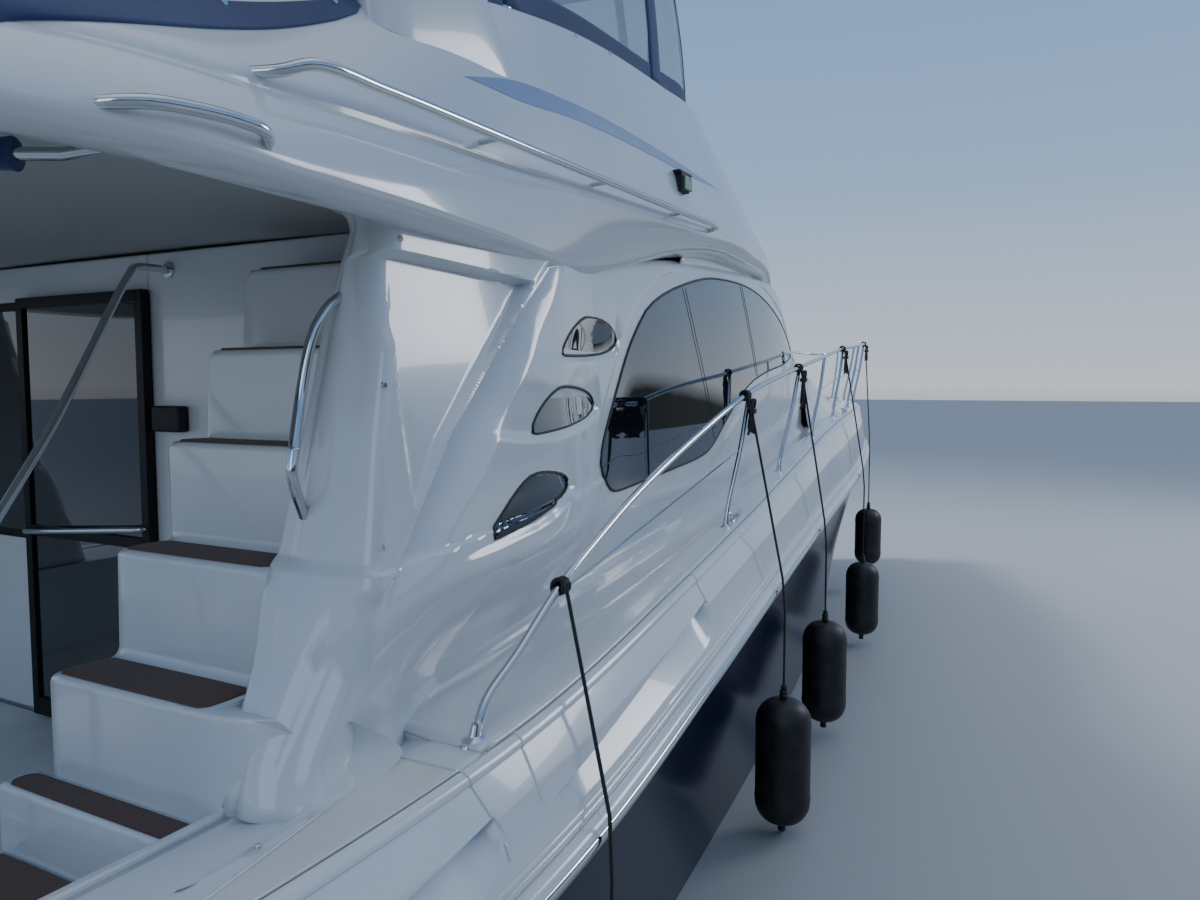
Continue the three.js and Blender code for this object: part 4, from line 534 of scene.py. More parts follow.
def rim_distance(x, z, ring):
    """Signed distance from a closed ring of (x, z): negative inside it."""
    ring = ring[:-1]
    p = np.stack([x.ravel(), z.ravel()], 1)
    a, b = ring[None], np.roll(ring, -1, 0)[None]
    side, reach = b - a, p[:, None] - a
    t = np.clip((reach * side).sum(2) / (side ** 2).sum(2), 0, 1)
    away = np.sqrt(((reach - side * t[..., None]) ** 2).sum(2)).min(1)
    cross = (a[..., 1] > p[:, None, 1]) != (b[..., 1] > p[:, None, 1])
    rise = (p[:, None, 1] - a[..., 1]) / (b[..., 1] - a[..., 1] + 1e-12)
    hit = p[:, None, 0] < (b[..., 0] - a[..., 0]) * rise + a[..., 0]
    inside = (cross & hit).sum(1) % 2 == 1
    return np.where(inside, -away, away).reshape(x.shape)


# Teardrop ports up the wing: outlines in x and z, anticlockwise.
PORTS = (
    ((-3.044, 2.559), (-2.922, 2.561), (-2.646, 2.572), (-2.472, 2.587), (-2.346, 2.618), (-2.314, 2.642),
     (-2.323, 2.672), (-2.402, 2.709), (-2.527, 2.726), (-2.674, 2.724), (-2.769, 2.713), (-2.947, 2.651),
     (-3.059, 2.582), (-3.068, 2.56)),
    ((-3.377, 2.288), (-3.233, 2.294), (-3.048, 2.304), (-2.784, 2.322), (-2.659, 2.353), (-2.641, 2.38),
     (-2.705, 2.417), (-2.9, 2.438), (-3.095, 2.444), (-3.167, 2.438), (-3.251, 2.41), (-3.332, 2.365),
     (-3.389, 2.315), (-3.396, 2.293)),
    ((-3.708, 1.994), (-3.629, 2.001), (-3.496, 2.014), (-3.324, 2.042), (-3.171, 2.069), (-3.123, 2.101),
     (-3.132, 2.12), (-3.189, 2.139), (-3.308, 2.156), (-3.401, 2.161), (-3.476, 2.151), (-3.564, 2.108),
     (-3.635, 2.058), (-3.707, 2.012), (-3.719, 1.996)))


# Inner face, rounded corners and aft face of the pillar, then forward along the side to the windscreen.
BROW_RADIUS, CORNER = 0.06, 0.055
along_side = np.concatenate([np.linspace(-4.1, -2.31, 170), np.linspace(-2.29, 1.46, 84), np.linspace(1.5, 2.38, 20)])
v = np.unique(np.concatenate([np.linspace(0, 0.3, 12), np.linspace(0.3, 0.9, 96), np.linspace(0.9, 1, 22)]))
fore_x = along_side[:, None]
low_z = np.interp(along_side, DECK_LINES[:, 0], DECK_LINES[:, 4])[:, None] - 0.03
top_z = (np.interp(along_side, HOUSE_LINES[:, 0], HOUSE_LINES[:, 5]) - BROW_RADIUS)[:, None]
fore_z = low_z + (top_z - low_z) * v
outer_x, inner_x, inner_y = (np.interp(fore_z[0], PILLAR[:, 0], PILLAR[:, k]) for k in (1, 2, 3))
pull = 1 - smooth(fore_x, -4.1, -3.8)
fore_x = fore_x + pull * (outer_x + CORNER * 0.75 + 4.1)
fore_y = side_y(fore_x, fore_z)
relief = rim_distance(fore_x, fore_z, window_rim())
fore_y = fore_y - 0.01 * (1 - smooth(relief, 0.075, 0.1)) * (relief < 0.15)
for port in PORTS:
    near = (fore_x > -3.9) & (fore_x < -2.3)
    away = np.ones(fore_x.shape)
    away[near] = rim_distance(fore_x[near], fore_z[near], rounded_rim(port))
    fore_y = fore_y - 0.006 * (1 - smooth(away, -0.01, 0.002))
fore = xyz(fore_x, fore_y, fore_z)


def bend(before, corner, after, t):
    """A corner rounded as a quadratic curve: (1 - t)^2 before + 2 t (1 - t) corner + t^2 after."""
    return (1 - t) ** 2 * before + 2 * t * (1 - t) * corner + t ** 2 * after


inner_at, outer_at = xyz(inner_x, inner_y, fore_z[0]), xyz(outer_x - 0.01, fore_y[0], fore_z[0])
to_outer = (outer_at - inner_at) / np.linalg.norm(outer_at - inner_at, axis=-1, keepdims=True)
t = np.linspace(0, 1, 11)[:, None, None]
inner_bend = bend(inner_at + [CORNER * 1.4, 0, 0], inner_at, inner_at + to_outer * CORNER * 1.4, t)
outer_bend = bend(outer_at - to_outer * CORNER * 1.6, outer_at, fore[0], t)
t = np.linspace(0, 1, 14)[1:-1, None, None]
aft_face = inner_bend[-1] + (outer_bend[0] - inner_bend[-1]) * t - 0.02 * np.sin(math.pi * t) * [1, 0, 0]
start = xyz(-3.6, inner_y, fore_z[0])
inner_face = start + (inner_bend[0] - start) * np.linspace(0, 1, 10)[:-1, None, None]
side = np.concatenate([inner_face, inner_bend, aft_face, outer_bend[:-1], fore])
pillar_rows = len(side) - len(fore)
# The shoulder turns a quarter round from the side to the roof, and the roof is crowned.
edge = side[:, -1]
shoulder = np.stack([edge + np.array([0, -BROW_RADIUS * (1 - math.cos(a)), BROW_RADIUS * math.sin(a)])
                     for a in np.linspace(0, math.pi / 2, 8)[1:]], 1)
roof_from = along_side.searchsorted(-3.4) + pillar_rows
last = shoulder[roof_from:, -1]
t = np.linspace(1, 0, 24)[None, :, None]
roof = last[:, None] * np.concatenate([np.ones_like(t), t, np.ones_like(t)], 2)
roof[..., 2] += 0.03 * (1 - t[..., 0] ** 2)
side = np.concatenate([side, shoulder], 1)
front = np.concatenate([roof[-1:], roof[-1:] * [1, 1, 0] + [0.02, 0, 2.46]])
for hand, flip in SIDES:
    moulded(f"house_moulding_{hand}", [side * flip, roof * flip, front * flip], gel_white, wall=0.012,
            nodes=f"house wing_{hand}")

# Window panes: dark tinted safety glass bonded flush in black rubber, so they reflect more than they show.
tinted = patterned(surface("tinted_glass", "#0b0f14", 0.02, IOR=1.52, Coat_Weight=1.0, Coat_Roughness=0.01),
                   "TexNoise", {"Scale": 0.7, "Detail": 1.0}, ("#080b10", "#141b22"))
seal_rubber = patterned(surface("black_seal_rubber", "#16181a", 0.6), "TexNoise", {"Scale": 30.0, "Detail": 4.0},
                        ranges={"Roughness": (0.45, 0.75)})


def pane(rim, height, tilt=0.0):
    """A pane over the side: the rim shrunk ring by ring to its middle, on the side's own surface plus
    height and a tilt about its middle, with a last ring that turns 6 mm down into it."""
    centre = rim[:-1].mean(0)
    shrink = np.linspace(0, 1, 24)[:, None, None]
    flat = centre + (rim[None] - centre) * shrink
    grid = on_side(flat, height + tilt * (flat[..., 1] - centre[1]))
    return np.concatenate([grid, grid[-1:] - [0, 0.006, 0]])


def swept(path, radius, sides=10, closed=False):
    """A round tube along a path: at each point a circle across the path's tangent, from two normals."""
    path = np.asarray(path, float)
    radius = np.broadcast_to(np.asarray(radius, float), (len(path),))
    if closed:
        tangent = np.roll(path, -1, 0) - np.roll(path, 1, 0)
    else:
        tangent = np.gradient(path, axis=0)
    tangent /= np.linalg.norm(tangent, axis=1)[:, None]
    normal = np.cross(tangent, np.cross([0.31, 0.17, 0.93], tangent))
    normal /= np.linalg.norm(normal, axis=1)[:, None]
    other = np.cross(tangent, normal)
    turn = np.linspace(0, 2 * math.pi, sides + 1)[None, :, None]
    ring = path[:, None] + radius[:, None, None] * (np.cos(turn) * normal[:, None] + np.sin(turn) * other[:, None])
    if closed:
        return np.concatenate([ring, ring[:1]])
    return np.concatenate([np.broadcast_to(path[:1, None], ring[:1].shape), ring,
                           np.broadcast_to(path[-1:, None], ring[:1].shape)])


def on_side(curve, height):
    """Points (x, z) laid on the side at a height above its surface."""
    x, z = curve[..., 0], curve[..., 1]
    return xyz(x, side_y(x, z) + height, z)


MULLIONS = (((-1.42, 3.06), (-1.26, 2.7), (-0.92, 2.02)), ((-0.3, 3.15), (0.02, 2.45)))
SUNK = 0.01  # the window's field lies this much below the side
for hand, flip in SIDES:
    panes = [pane(window_rim(-0.004), 0.004 - SUNK) * flip]
    seals = [swept(on_side(window_rim()[:-1], 0.001 - SUNK), 0.007, 8, closed=True) * flip]
    for number, port in enumerate(PORTS):
        panes.append(pane(rounded_rim(port, -0.003), -0.001, (0.1, -0.12, -0.04)[number]) * flip)
        seals.append(swept(on_side(rounded_rim(port, 0.001)[:-1], 0.0), 0.0055, 8, closed=True) * flip)
    for line in MULLIONS:
        line = np.array(line)
        for shift in (-0.022, 0.022):
            at = np.linspace(0, len(line) - 1, 24)
            bar = np.stack([np.interp(at, range(len(line)), line[:, k]) for k in (0, 1)], 1) + [shift, 0]
            bar = bar[rim_distance(*bar.T, window_rim()) < 0.0]
            seals.append(swept(on_side(bar, 0.003 - SUNK), 0.003, 6) * flip)
    moulded(f"salon_window_{hand}", panes, tinted, nodes=f"side_glass_{hand}")
    moulded(f"window_seal_{hand}", seals, seal_rubber)


# ---- Flybridge moulding
# White gel-coated upper deck that overhangs the cockpit. Its side is two faces that meet in a moulding
# joint at the knuckle, and a rolled coaming goes round a well with non-skid floors at two levels.
BRIDGE_LINES = np.array([  # x, lower edge and its height, knuckle and its height, coaming top and its height
    (-5.38, 1.56, 2.88, 1.53, 3.02, 1.44, 3.08), (-5.24, 1.8, 2.865, 1.74, 3.03, 1.58, 3.12),
    (-5.0, 1.93, 2.855, 1.85, 3.045, 1.64, 3.19), (-4.4, 1.955, 2.85, 1.86, 3.08, 1.62, 3.36),
    (-3.6, 1.85, 2.85, 1.8, 3.12, 1.56, 3.68), (-2.83, 1.66, 2.86, 1.73, 3.18, 1.5, 3.87),
    (-1.5, 1.555, 3.11, 1.64, 3.26, 1.39, 4.02), (-0.7, 1.48, 3.19, 1.55, 3.33, 1.26, 4.09),
    (-0.15, 1.43, 3.2, 1.48, 3.35, 1.18, 3.96), (0.5, 1.34, 3.205, 1.37, 3.34, 1.08, 3.65),
    (1.08, 1.18, 3.19, 1.19, 3.27, 0.96, 3.37)])
LOW_FLOOR, HIGH_FLOOR, FLOOR_STEP, WELL_FRONT = 3.01, 3.24, -2.8, -0.74
CEILING = 2.95
STAIR_HOLE = (-4.56, -3.64, -1.56, -0.9)
JOINT_DEEP, JOINT_HALF = 0.007, 0.02


def bridge_face(x, v):
    """Side of the flybridge: v runs 0 to 1 from the lower edge to the knuckle and 1 to 2 on to the coaming.
    Each face is straight plus a bulge of 4 t (1 - t), the lower edge turns under on a small radius, and
    the joint at the knuckle is a groove."""
    edge, edge_z, knuckle, knuckle_z, top, top_z = faired(BRIDGE_LINES, x).T[:, :, None]
    t = np.where(v < 1, v, v - 1)
    bulge = 4 * t * (1 - t)
    y = np.where(v < 1, edge + (knuckle - edge) * t + 0.022 * bulge,
                 knuckle + (top + 0.03 - knuckle) * t + 0.03 * bulge)
    z = np.where(v < 1, edge_z + 0.02 + (knuckle_z - edge_z - 0.02) * t, knuckle_z + (top_z - 0.03 - knuckle_z) * t)
    y = y - 0.03 * np.clip(1 - (z - edge_z - 0.02) / 0.035, 0, 1) ** 2
    y = y - JOINT_DEEP * np.clip(1 - np.abs(z - knuckle_z) / JOINT_HALF, 0, 1)
    return rows_at(x, y, z)


bridge_x = np.unique(np.concatenate([np.linspace(-5.38, -5.0, 22), np.linspace(-5.0, 1.08, 120),
                                     [FLOOR_STEP, FLOOR_STEP + 0.001]]))
v = np.concatenate([np.linspace(0, 0.12, 8), np.linspace(0.16, 0.86, 14), np.linspace(0.9, 1.06, 20),
                    np.linspace(1.1, 2, 24)])[None]
face = bridge_face(bridge_x, v)
edge, edge_z, knuckle, knuckle_z, top, top_z = faired(BRIDGE_LINES, bridge_x).T
turn = np.linspace(0, math.pi, 13)[None]
roll_y = (top - 0.008)[:, None] + 0.038 * np.cos(turn) - 0.012 * (1 - np.cos(turn))
roll = rows_at(bridge_x, roll_y, (top_z - 0.03)[:, None] + 0.03 * np.sin(turn))
floor_z = np.where(bridge_x <= FLOOR_STEP, LOW_FLOOR, HIGH_FLOOR)
down = np.linspace(0, 1, 10)[None]
wall_y = roll[:, -1:, 1] + (0.05 * smooth(down, 0, 0.3))
wall = rows_at(bridge_x, wall_y, roll[:, -1:, 2] + (floor_z[:, None] - roll[:, -1:, 2]) * down)
in_well = (bridge_x > -5.25) & (bridge_x <= WELL_FRONT + 0.01)
cowl = bridge_x >= WELL_FRONT - 0.03
t = np.linspace(1, 0, 20)[None]
cowl_y = roll[cowl, 6, 1][:, None] * t
cowl_top = rows_at(bridge_x[cowl], cowl_y, roll[cowl, 6, 2][:, None] + 0.035 * (1 - t ** 2))
under = np.linspace(0, 1, 6)[None]
lip_y = face[:, :1, 1] - 0.12 * under
lip = rows_at(bridge_x, lip_y, face[:, :1, 2] - 0.012 * np.sin(math.pi * under))
risen = xyz(bridge_x, lip[:, -1, 1] - 0.02, np.maximum(CEILING, edge_z + 0.01))[:, None]
rise = lip[:, -1:] + (risen - lip[:, -1:]) * down[..., None]
t = np.linspace(1, 0, 12)[None, :, None]
ceiling = rise[:, -1:] * np.concatenate([np.ones_like(t), t, np.ones_like(t)], 2)
ceiling[..., 2] += 0.025 * (1 - t[..., 0] ** 2)
shell = np.concatenate([face, roll[:, 1:]], 1)
cap_front = np.stack([shell[-1, :80], shell[-1, :80] * [1, 0, 1]])
cap_aft = np.stack([shell[0], shell[0] * [1, 0, 1]])
grids = both(shell, cowl_top, lip, rise, wall[in_well])
# A skirt closes the joint between the overhang and the house roof, along each side and across the front.
skirted = bridge_x > -1.4
skirt = np.stack([face[skirted, 0] - [0, 0.03, 0], face[skirted, 0] - [0, 0.06, 0.1]])
brow_end = np.array([[(1.06, y, 3.2), (1.02, y, 3.04)] for y in (0.0, 1.12)])
grids += both(skirt, brow_end, cap_aft, cap_front)
moulded("flybridge_moulding", grids, gel_white, wall=0.004, nodes="flybridge")

headliner = patterned(surface("foam_backed_vinyl_headliner", "#aeb0ad", 0.7),
                      "TexNoise", {"Scale": 400.0, "Detail": 2.0}, bump=(0.15, 0.001))
overhead = bridge_x < -3.55  # as far as the bulkhead
moulded("cockpit_headliner", both(ceiling[overhead]), headliner)


def boxes(name, sizes, material, nodes="", body="boat", bevel=0.01):
    """Boxes (x0, x1, y0, y1, z0, z1) as one piece, with their edges rounded by a bevel."""
    corners, faces = [], []
    order = np.array([(4, 6, 2, 0), (3, 7, 5, 1), (1, 5, 4, 0), (6, 7, 3, 2), (2, 3, 1, 0), (5, 7, 6, 4)])
    for number, (x0, x1, y0, y1, z0, z1) in enumerate(sizes):
        corners += [(x, y, z) for z in (z0, z1) for y in (y0, y1) for x in (x0, x1)]
        faces += (order + 8 * number).tolist()
    made = fitted(name, corners, faces, material, nodes, body)
    rounded = made.modifiers.new("edges", "BEVEL")
    rounded.width, rounded.segments, rounded.harden_normals = bevel, 3, True
    return made


hole_x0, hole_x1, hole_y0, hole_y1 = STAIR_HOLE
around_hole = ((-5.22, FLOOR_STEP, hole_y1, 1.6), (-5.22, hole_x0, -1.6, hole_y1),
               (hole_x1, FLOOR_STEP, -1.52, hole_y1), (hole_x0, hole_x1, -1.6, hole_y0))
boxes("flybridge_floor", [(*plan, CEILING + 0.03, LOW_FLOOR) for plan in around_hole]
      + [(FLOOR_STEP, WELL_FRONT, -1.36, 1.36, CEILING + 0.1, HIGH_FLOOR)], non_skid, bevel=0.008)
boxes("flybridge_front_wall", [(WELL_FRONT - 0.02, WELL_FRONT + 0.03, -1.22, 1.22, HIGH_FLOOR, 4.07)],
      gel_white, bevel=0.01)
boxes("flybridge_seat_bases", [
    (-4.95, -4.62, -0.78, 1.26, LOW_FLOOR, LOW_FLOOR + 0.26), (-4.7, -3.3, 0.88, 1.24, LOW_FLOOR, LOW_FLOOR + 0.258),
    (-2.22, -1.81, -0.46, 0.46, HIGH_FLOOR, HIGH_FLOOR + 0.3)], gel_white, bevel=0.03)

# Accent stripe: a long tapered flash of blue-grey film on the upper face.
film = patterned(surface("blue_grey_film", "#8494b8", 0.25, Coat_Weight=0.3),
                 "TexNoise", {"Scale": 3.0, "Detail": 3.0}, ("#7c8cb2", "#93a2c2"))
STRIPE = np.array([  # x, middle of the stripe between knuckle (1) and coaming (2), half its width
    (-3.64, 1.5, 0.0), (-3.35, 1.49, 0.055), (-2.9, 1.47, 0.05), (-2.3, 1.43, 0.04), (-1.5, 1.38, 0.022),
    (-0.95, 1.34, 0.0)])
stripe_x = np.linspace(-3.64, -0.95, 60)
centre, half_width = faired(STRIPE, stripe_x).T
across = np.linspace(-1, 1, 5)[None]
flash = bridge_face(stripe_x, centre[:, None] + np.maximum(half_width, 0.001)[:, None] * across) + [0, 0.0015, 0]
moulded("accent_stripes", both(flash), film, weld=1e-6)


# ---- Cockpit bulkhead and sliding door
# The salon's aft wall: white moulding round a sliding door and a fixed pane of dark tinted glass, both in
# slim black-anodised frames, with a stainless grab bar across them at waist height.
WALL_X, DOOR_X = -3.6, -3.635
DOOR_Y0, DOOR_Y1, DOOR_Z0, DOOR_Z1, PANE_Y1, FRAME = -0.19, 0.65, 1.0, 2.82, 1.42, 0.045
boxes("aft_bulkhead", [(WALL_X, WALL_X + 0.05, *face) for face in (
    (-1.6, DOOR_Y0 + 0.02, 0.99, 2.96), (DOOR_Y0 + 0.02, 1.6, DOOR_Z1 - 0.02, 2.96),
    (PANE_Y1, 1.6, 0.99, DOOR_Z1 - 0.02), (DOOR_Y1 + 0.06, PANE_Y1, 0.99, 1.8))], gel_white, bevel=0.012)
anodised = patterned(surface("black_anodised_aluminium", "#1a1b1d", 0.38, Metallic=0.6),
                     "TexNoise", {"Scale": 4.0, "Detail": 2.0}, ranges={"Roughness": (0.3, 0.46)},
                     mapping={"Scale": (60.0, 60.0, 1.5)})
boxes("fixed_pane", [(WALL_X - 0.004, WALL_X + 0.004, DOOR_Y1, PANE_Y1 + 0.01, 1.79, DOOR_Z1 - 0.03)], tinted,
      bevel=0.002)
boxes("fixed_pane_frame", [(WALL_X - 0.005, WALL_X + 0.01, *face) for face in (
    (DOOR_Y1, PANE_Y1 + 0.03, DOOR_Z1 - 0.05, DOOR_Z1 - 0.01), (DOOR_Y1, PANE_Y1 + 0.03, 1.77, 1.81),
    (PANE_Y1 - 0.01, PANE_Y1 + 0.03, 1.77, DOOR_Z1 - 0.01))], anodised, bevel=0.004)
boxes("salon_door_frame", [(DOOR_X - 0.011, DOOR_X + 0.025, *face) for face in (
    (DOOR_Y0, DOOR_Y0 + FRAME, DOOR_Z0, DOOR_Z1), (DOOR_Y1 - FRAME, DOOR_Y1, DOOR_Z0, DOOR_Z1),
    (DOOR_Y0 + 0.03, DOOR_Y1 - 0.03, DOOR_Z1 - FRAME, DOOR_Z1), (DOOR_Y0 + 0.03, DOOR_Y1 - 0.03, 1.8, 1.8 + FRAME),
    (DOOR_Y0 + 0.03, DOOR_Y1 - 0.03, DOOR_Z0, DOOR_Z0 + 0.08))], anodised, body="salon_door", bevel=0.004,
    nodes="salon_door")
boxes("salon_door_glass", [
    (DOOR_X + 0.002, DOOR_X + 0.01, DOOR_Y0 + 0.02, DOOR_Y1 - 0.02, DOOR_Z0 + 0.06, DOOR_Z1 - 0.02)], tinted,
    body="salon_door", bevel=0.001, nodes="salon_door")

# Polished stainless steel: bright, with a faint haze along the drawn tube.
stainless = patterned(surface("polished_stainless_steel", "#cfd2d4", 0.09, Metallic=1.0),
                      "TexNoise", {"Scale": 25.0, "Detail": 3.0}, ranges={"Roughness": (0.05, 0.16)})


def flange(centre, normal, radius=0.032, thick=0.006, sides=24):
    """A turned disc with a rounded rim: radius against height along its normal, then swept round."""
    profile = np.array([(0.0, 1.0), (0.75, 1.0), (0.95, 0.75), (1.0, 0.3), (1.0, 0.0), (0.0, 0.0)]) * [radius, thick]
    normal = np.asarray(normal, float) / np.linalg.norm(normal)
    one = np.cross(normal, [0.31, 0.17, 0.93])
    one /= np.linalg.norm(one)
    two = np.cross(normal, one)
    turn = np.linspace(0, 2 * math.pi, sides + 1)[:, None, None]
    return (np.asarray(centre) + profile[None, :, :1] * (np.cos(turn) * one + np.sin(turn) * two)
            + profile[None, :, 1:] * normal)


def bent(points, count=60):
    """A smooth path through points: centripetal spacing, then the faired cubic of each coordinate."""
    points = np.asarray(points, float)
    gaps = np.maximum(np.linalg.norm(np.diff(points, axis=0), axis=1), 1e-6) ** 0.5
    at = np.concatenate([[0], np.cumsum(gaps)])
    return faired(np.column_stack([at, points]), np.linspace(0, at[-1], count))


# Grab bar on the glass, and the black latch box beside the door.
BAR = np.array([(DOOR_X - 0.01, 0.615, 1.822), (DOOR_X - 0.03, 0.612, 1.822), (DOOR_X - 0.045, 0.58, 1.824),
                (DOOR_X - 0.045, 0.0, 1.87), (DOOR_X - 0.045, -0.13, 1.882), (DOOR_X - 0.03, -0.165, 1.885),
                (DOOR_X - 0.01, -0.168, 1.885)])
moulded("door_grab_bar", [swept(bent(BAR, 80), 0.0115, 12)], stainless, body="salon_door", nodes="salon_door")
boxes("latch_box", [(WALL_X - 0.05, WALL_X, -0.39, -0.23, 2.27, 2.37)], seal_rubber, bevel=0.01)

# ---- Stairs
# Moulded white stair to the flybridge: seven treads with brown carpet mats let into them, rounded
# noses, and a cove where each tread meets the riser above.
STEPS = np.array([  # riser at x, tread height, inboard end
    (-4.5, 1.67, -0.95), (-4.3, 1.98, -0.96), (-4.12, 2.28, -0.96), (-3.97, 2.56, -0.97), (-3.8, 2.83, -0.95)])
NOSE, COVE, STAIR_OUT, STAIR_BACK = 0.022, 0.03, -1.58, -3.61


def stair_profile():
    """Treads and risers in x and z from the sole up: each nose is a quarter round, each foot a quarter
    round cove."""
    quarter = np.linspace(0, math.pi / 2, 7)
    points = [(-4.5, 0.99), (-4.5, 1.0)]
    for number, (riser, tread, _) in enumerate(STEPS):
        points += [(riser + NOSE * (1 - math.cos(a)), tread - NOSE * (1 - math.sin(a))) for a in quarter]
        if number < len(STEPS) - 1:
            ahead = STEPS[number + 1, 0]
            points += [(ahead - COVE * (1 - math.sin(a)), tread + COVE * (1 - math.cos(a))) for a in quarter]
    points += [(STAIR_BACK, STEPS[-1, 1]), (STAIR_BACK, 0.99)]
    return np.array(points)


profile = stair_profile()
inboard = np.interp(profile[:, 1], STEPS[:, 1], STEPS[:, 2])
spread = (0.0, 0.012, 0.03, 0.1, 0.3, 0.6, 0.9, 1.0)
round_off = (0.03, 0.012, 0, 0, 0, 0, 0, 0)
inward = np.array([-4.0, 1.6]) - profile
inward /= np.linalg.norm(inward, axis=1)[:, None]
sections = [xyz(-3.9, inboard, 1.2)]
for s, r in zip(spread, round_off):
    x, z = (profile + inward * r).T
    sections.append(xyz(x, inboard + (STAIR_OUT - inboard) * s, z))
sections.append(xyz(np.full(len(profile), -3.9), STAIR_OUT, 1.2))
moulded("stair_moulding", [np.stack(sections)], gel_white, crease=50, nodes="stairs")
boxes("stair_low_steps", [(-4.76, -4.6, -1.84, -0.87, 0.985, 1.21), (-4.6, -4.49, -1.84, -0.87, 0.985, 1.39)],
      gel_white, bevel=0.02, nodes="stairs")
# Outboard the riser bends forward into a rounded pocket between the step and the coaming: the top edge of
# its wall in x, y and z, from the step round to the coaming's inner side.
POCKET = np.array([(-4.5, -1.45, 1.67), (-4.5, -1.58, 1.67), (-4.485, -1.65, 1.665), (-4.45, -1.72, 1.645),
                   (-4.4, -1.775, 1.61), (-4.34, -1.812, 1.565), (-4.31, -1.828, 1.53), (-4.33, -1.84, 1.505),
                   (-4.42, -1.848, 1.49), (-4.55, -1.856, 1.472), (-4.8, -1.86, 1.464)])
rim = bent(POCKET, 90)
turn = np.linspace(0, math.pi / 2, 8)
away = np.array([0.6, -0.8, 0])
lip = [rim + away * 0.02 * (1 - math.cos(a)) - [0, 0, 0.02 * (1 - math.sin(a))] for a in turn]
foot = rim * [1, 1, 0] + [0, 0, 0.985]
back = np.maximum(rim + away * 0.3 - [0, 0, 0.03], [-9, -1.87, 0])
moulded("stair_pocket", [np.stack([foot] + lip + [back])], gel_white)

carpet = patterned(surface("brown_loop_carpet", "#57453b", 0.95, Sheen_Weight=0.08, Sheen_Roughness=0.5),
                   "TexVoronoi", {"Scale": 260.0, "Randomness": 0.6}, ("#705648", "#44332b"), bump=(0.6, 0.002, True))


def mat(x0, x1, y0, y1, z, corner=0.035, thick=0.006):
    """A mat with rounded corners: its outline shrinks ring by ring to the middle, its rim turns down."""
    angle = np.linspace(0, 2 * math.pi, 65)
    half, centre = np.array([x1 - x0, y1 - y0, 0]) / 2, np.array([(x0 + x1) / 2, (y0 + y1) / 2, z])
    away = xyz(np.cos(angle), np.sin(angle), 0)
    reach = np.sign(away) * (half - corner) * np.minimum(1, np.abs(away) * 4) + away * corner
    return np.stack([centre + reach * k + [0, 0, up * thick]
                     for k, up in ((0.0, 1), (0.5, 1), (0.97, 1), (0.995, 0.7), (1.0, 0))])


mats = [(-4.75, -4.615, -1.8, -0.9, 1.21), (-4.59, -4.515, -1.8, -0.9, 1.39)]
for (riser, tread, inner), (ahead, _, _) in zip(STEPS, STEPS[1:]):
    mats.append((riser + 0.016, ahead - 0.029, -1.56, inner - 0.018, tread))
mats.append((-3.784, -3.64, -1.5, -0.98, 2.83))
moulded("stair_mats", [mat(*place) for place in mats], carpet)

# Courtesy light: an oval stainless bezel round a frosted lens, let into the lowest riser.
lens = patterned(surface("frosted_acrylic", "#9a9d97", 0.35), "TexNoise", {"Scale": 300.0}, bump=(0.2, 0.001))


def squared(wave, power):
    """A wave from -1 to 1 raised to a power on both sides, which squares a circle's corners."""
    return np.sign(wave) * np.abs(wave) ** power


def oval_rings(steps):
    """Rings of the light's oval: each step scales it and sets it out from the riser."""
    size, out = np.array(steps).T
    turn = np.linspace(0, 2 * math.pi, 49)[:, None]
    across, up = 0.04 * squared(np.cos(turn), 0.6) * size, 0.022 * squared(np.sin(turn), 0.75) * size
    return xyz(-4.452 - out + 0.6 * across, -1.725 + across, 1.465 + up)


moulded("courtesy_light_bezel", [oval_rings(((1.0, 0.0), (0.98, 0.005), (0.9, 0.007), (0.8, 0.004)))], stainless)
moulded("courtesy_light_lens", [oval_rings(((0.82, 0.003), (0.5, 0.005), (0.0, 0.006)))], lens)

# Stair handrails: bent stainless tube, the long one from the bulkhead to the cockpit sole and the short
# one on the pillar's aft face.
INNER_RAIL = ((-3.602, -0.3, 2.89), (-3.68, -0.3, 2.89), (-3.74, -0.31, 2.885), (-3.86, -0.42, 2.82),
              (-4.3, -0.7, 2.34), (-4.62, -0.815, 1.95), (-4.7, -0.825, 1.8), (-4.72, -0.825, 1.6),
              (-4.72, -0.825, 1.2), (-4.72, -0.825, 0.985))
OUTER_RAIL = ((-4.09, -1.663, 2.69), (-4.14, -1.663, 2.66), (-4.175, -1.66, 2.62), (-4.2, -1.655, 2.57),
              (-4.24, -1.65, 2.412), (-4.29, -1.675, 2.28), (-4.3, -1.68, 2.235), (-4.29, -1.678, 2.195),
              (-4.24, -1.656, 2.115))
moulded("stair_rail_inner_tube", [
    swept(bent(INNER_RAIL, 140), 0.014, 14), flange((-3.602, -0.3, 2.89), (-1, 0, 0)),
    flange((-4.72, -0.825, 0.983), (0, 0, 1), 0.036)],
    stainless, nodes="stair_rail_inner")
moulded("stair_rail_outer_tube", [swept(bent(OUTER_RAIL, 90), 0.014, 14)], stainless,
        nodes="stair_rail_outer")


# ---- Rub rail
# Where deck and hull meet: a white half-round moulding all round the rail, capped with a half-oval strip
# of stainless steel that is screwed on and takes the rubbing.
rail_x = np.linspace(-6.4, 7.1, 180)
rail_y, rail_z = faired(HULL_LINES, rail_x)[:, :2].T
line = nosed(xyz(rail_x, rail_y, rail_z)[:, None], STEM)[:, 0]
sweep = np.gradient(line, axis=0)
out = sweep[:, [1, 0, 2]] * [-1, 1, 0]
out /= np.linalg.norm(out, axis=1)[:, None]


def along_rail(profile):
    """A profile (out from the rail, up) carried along the hull's rail, outwards in plan."""
    across, up = np.array(profile).T[:, :, None]
    return line[:, None] + out[:, None] * across + up * [0, 0, 1]


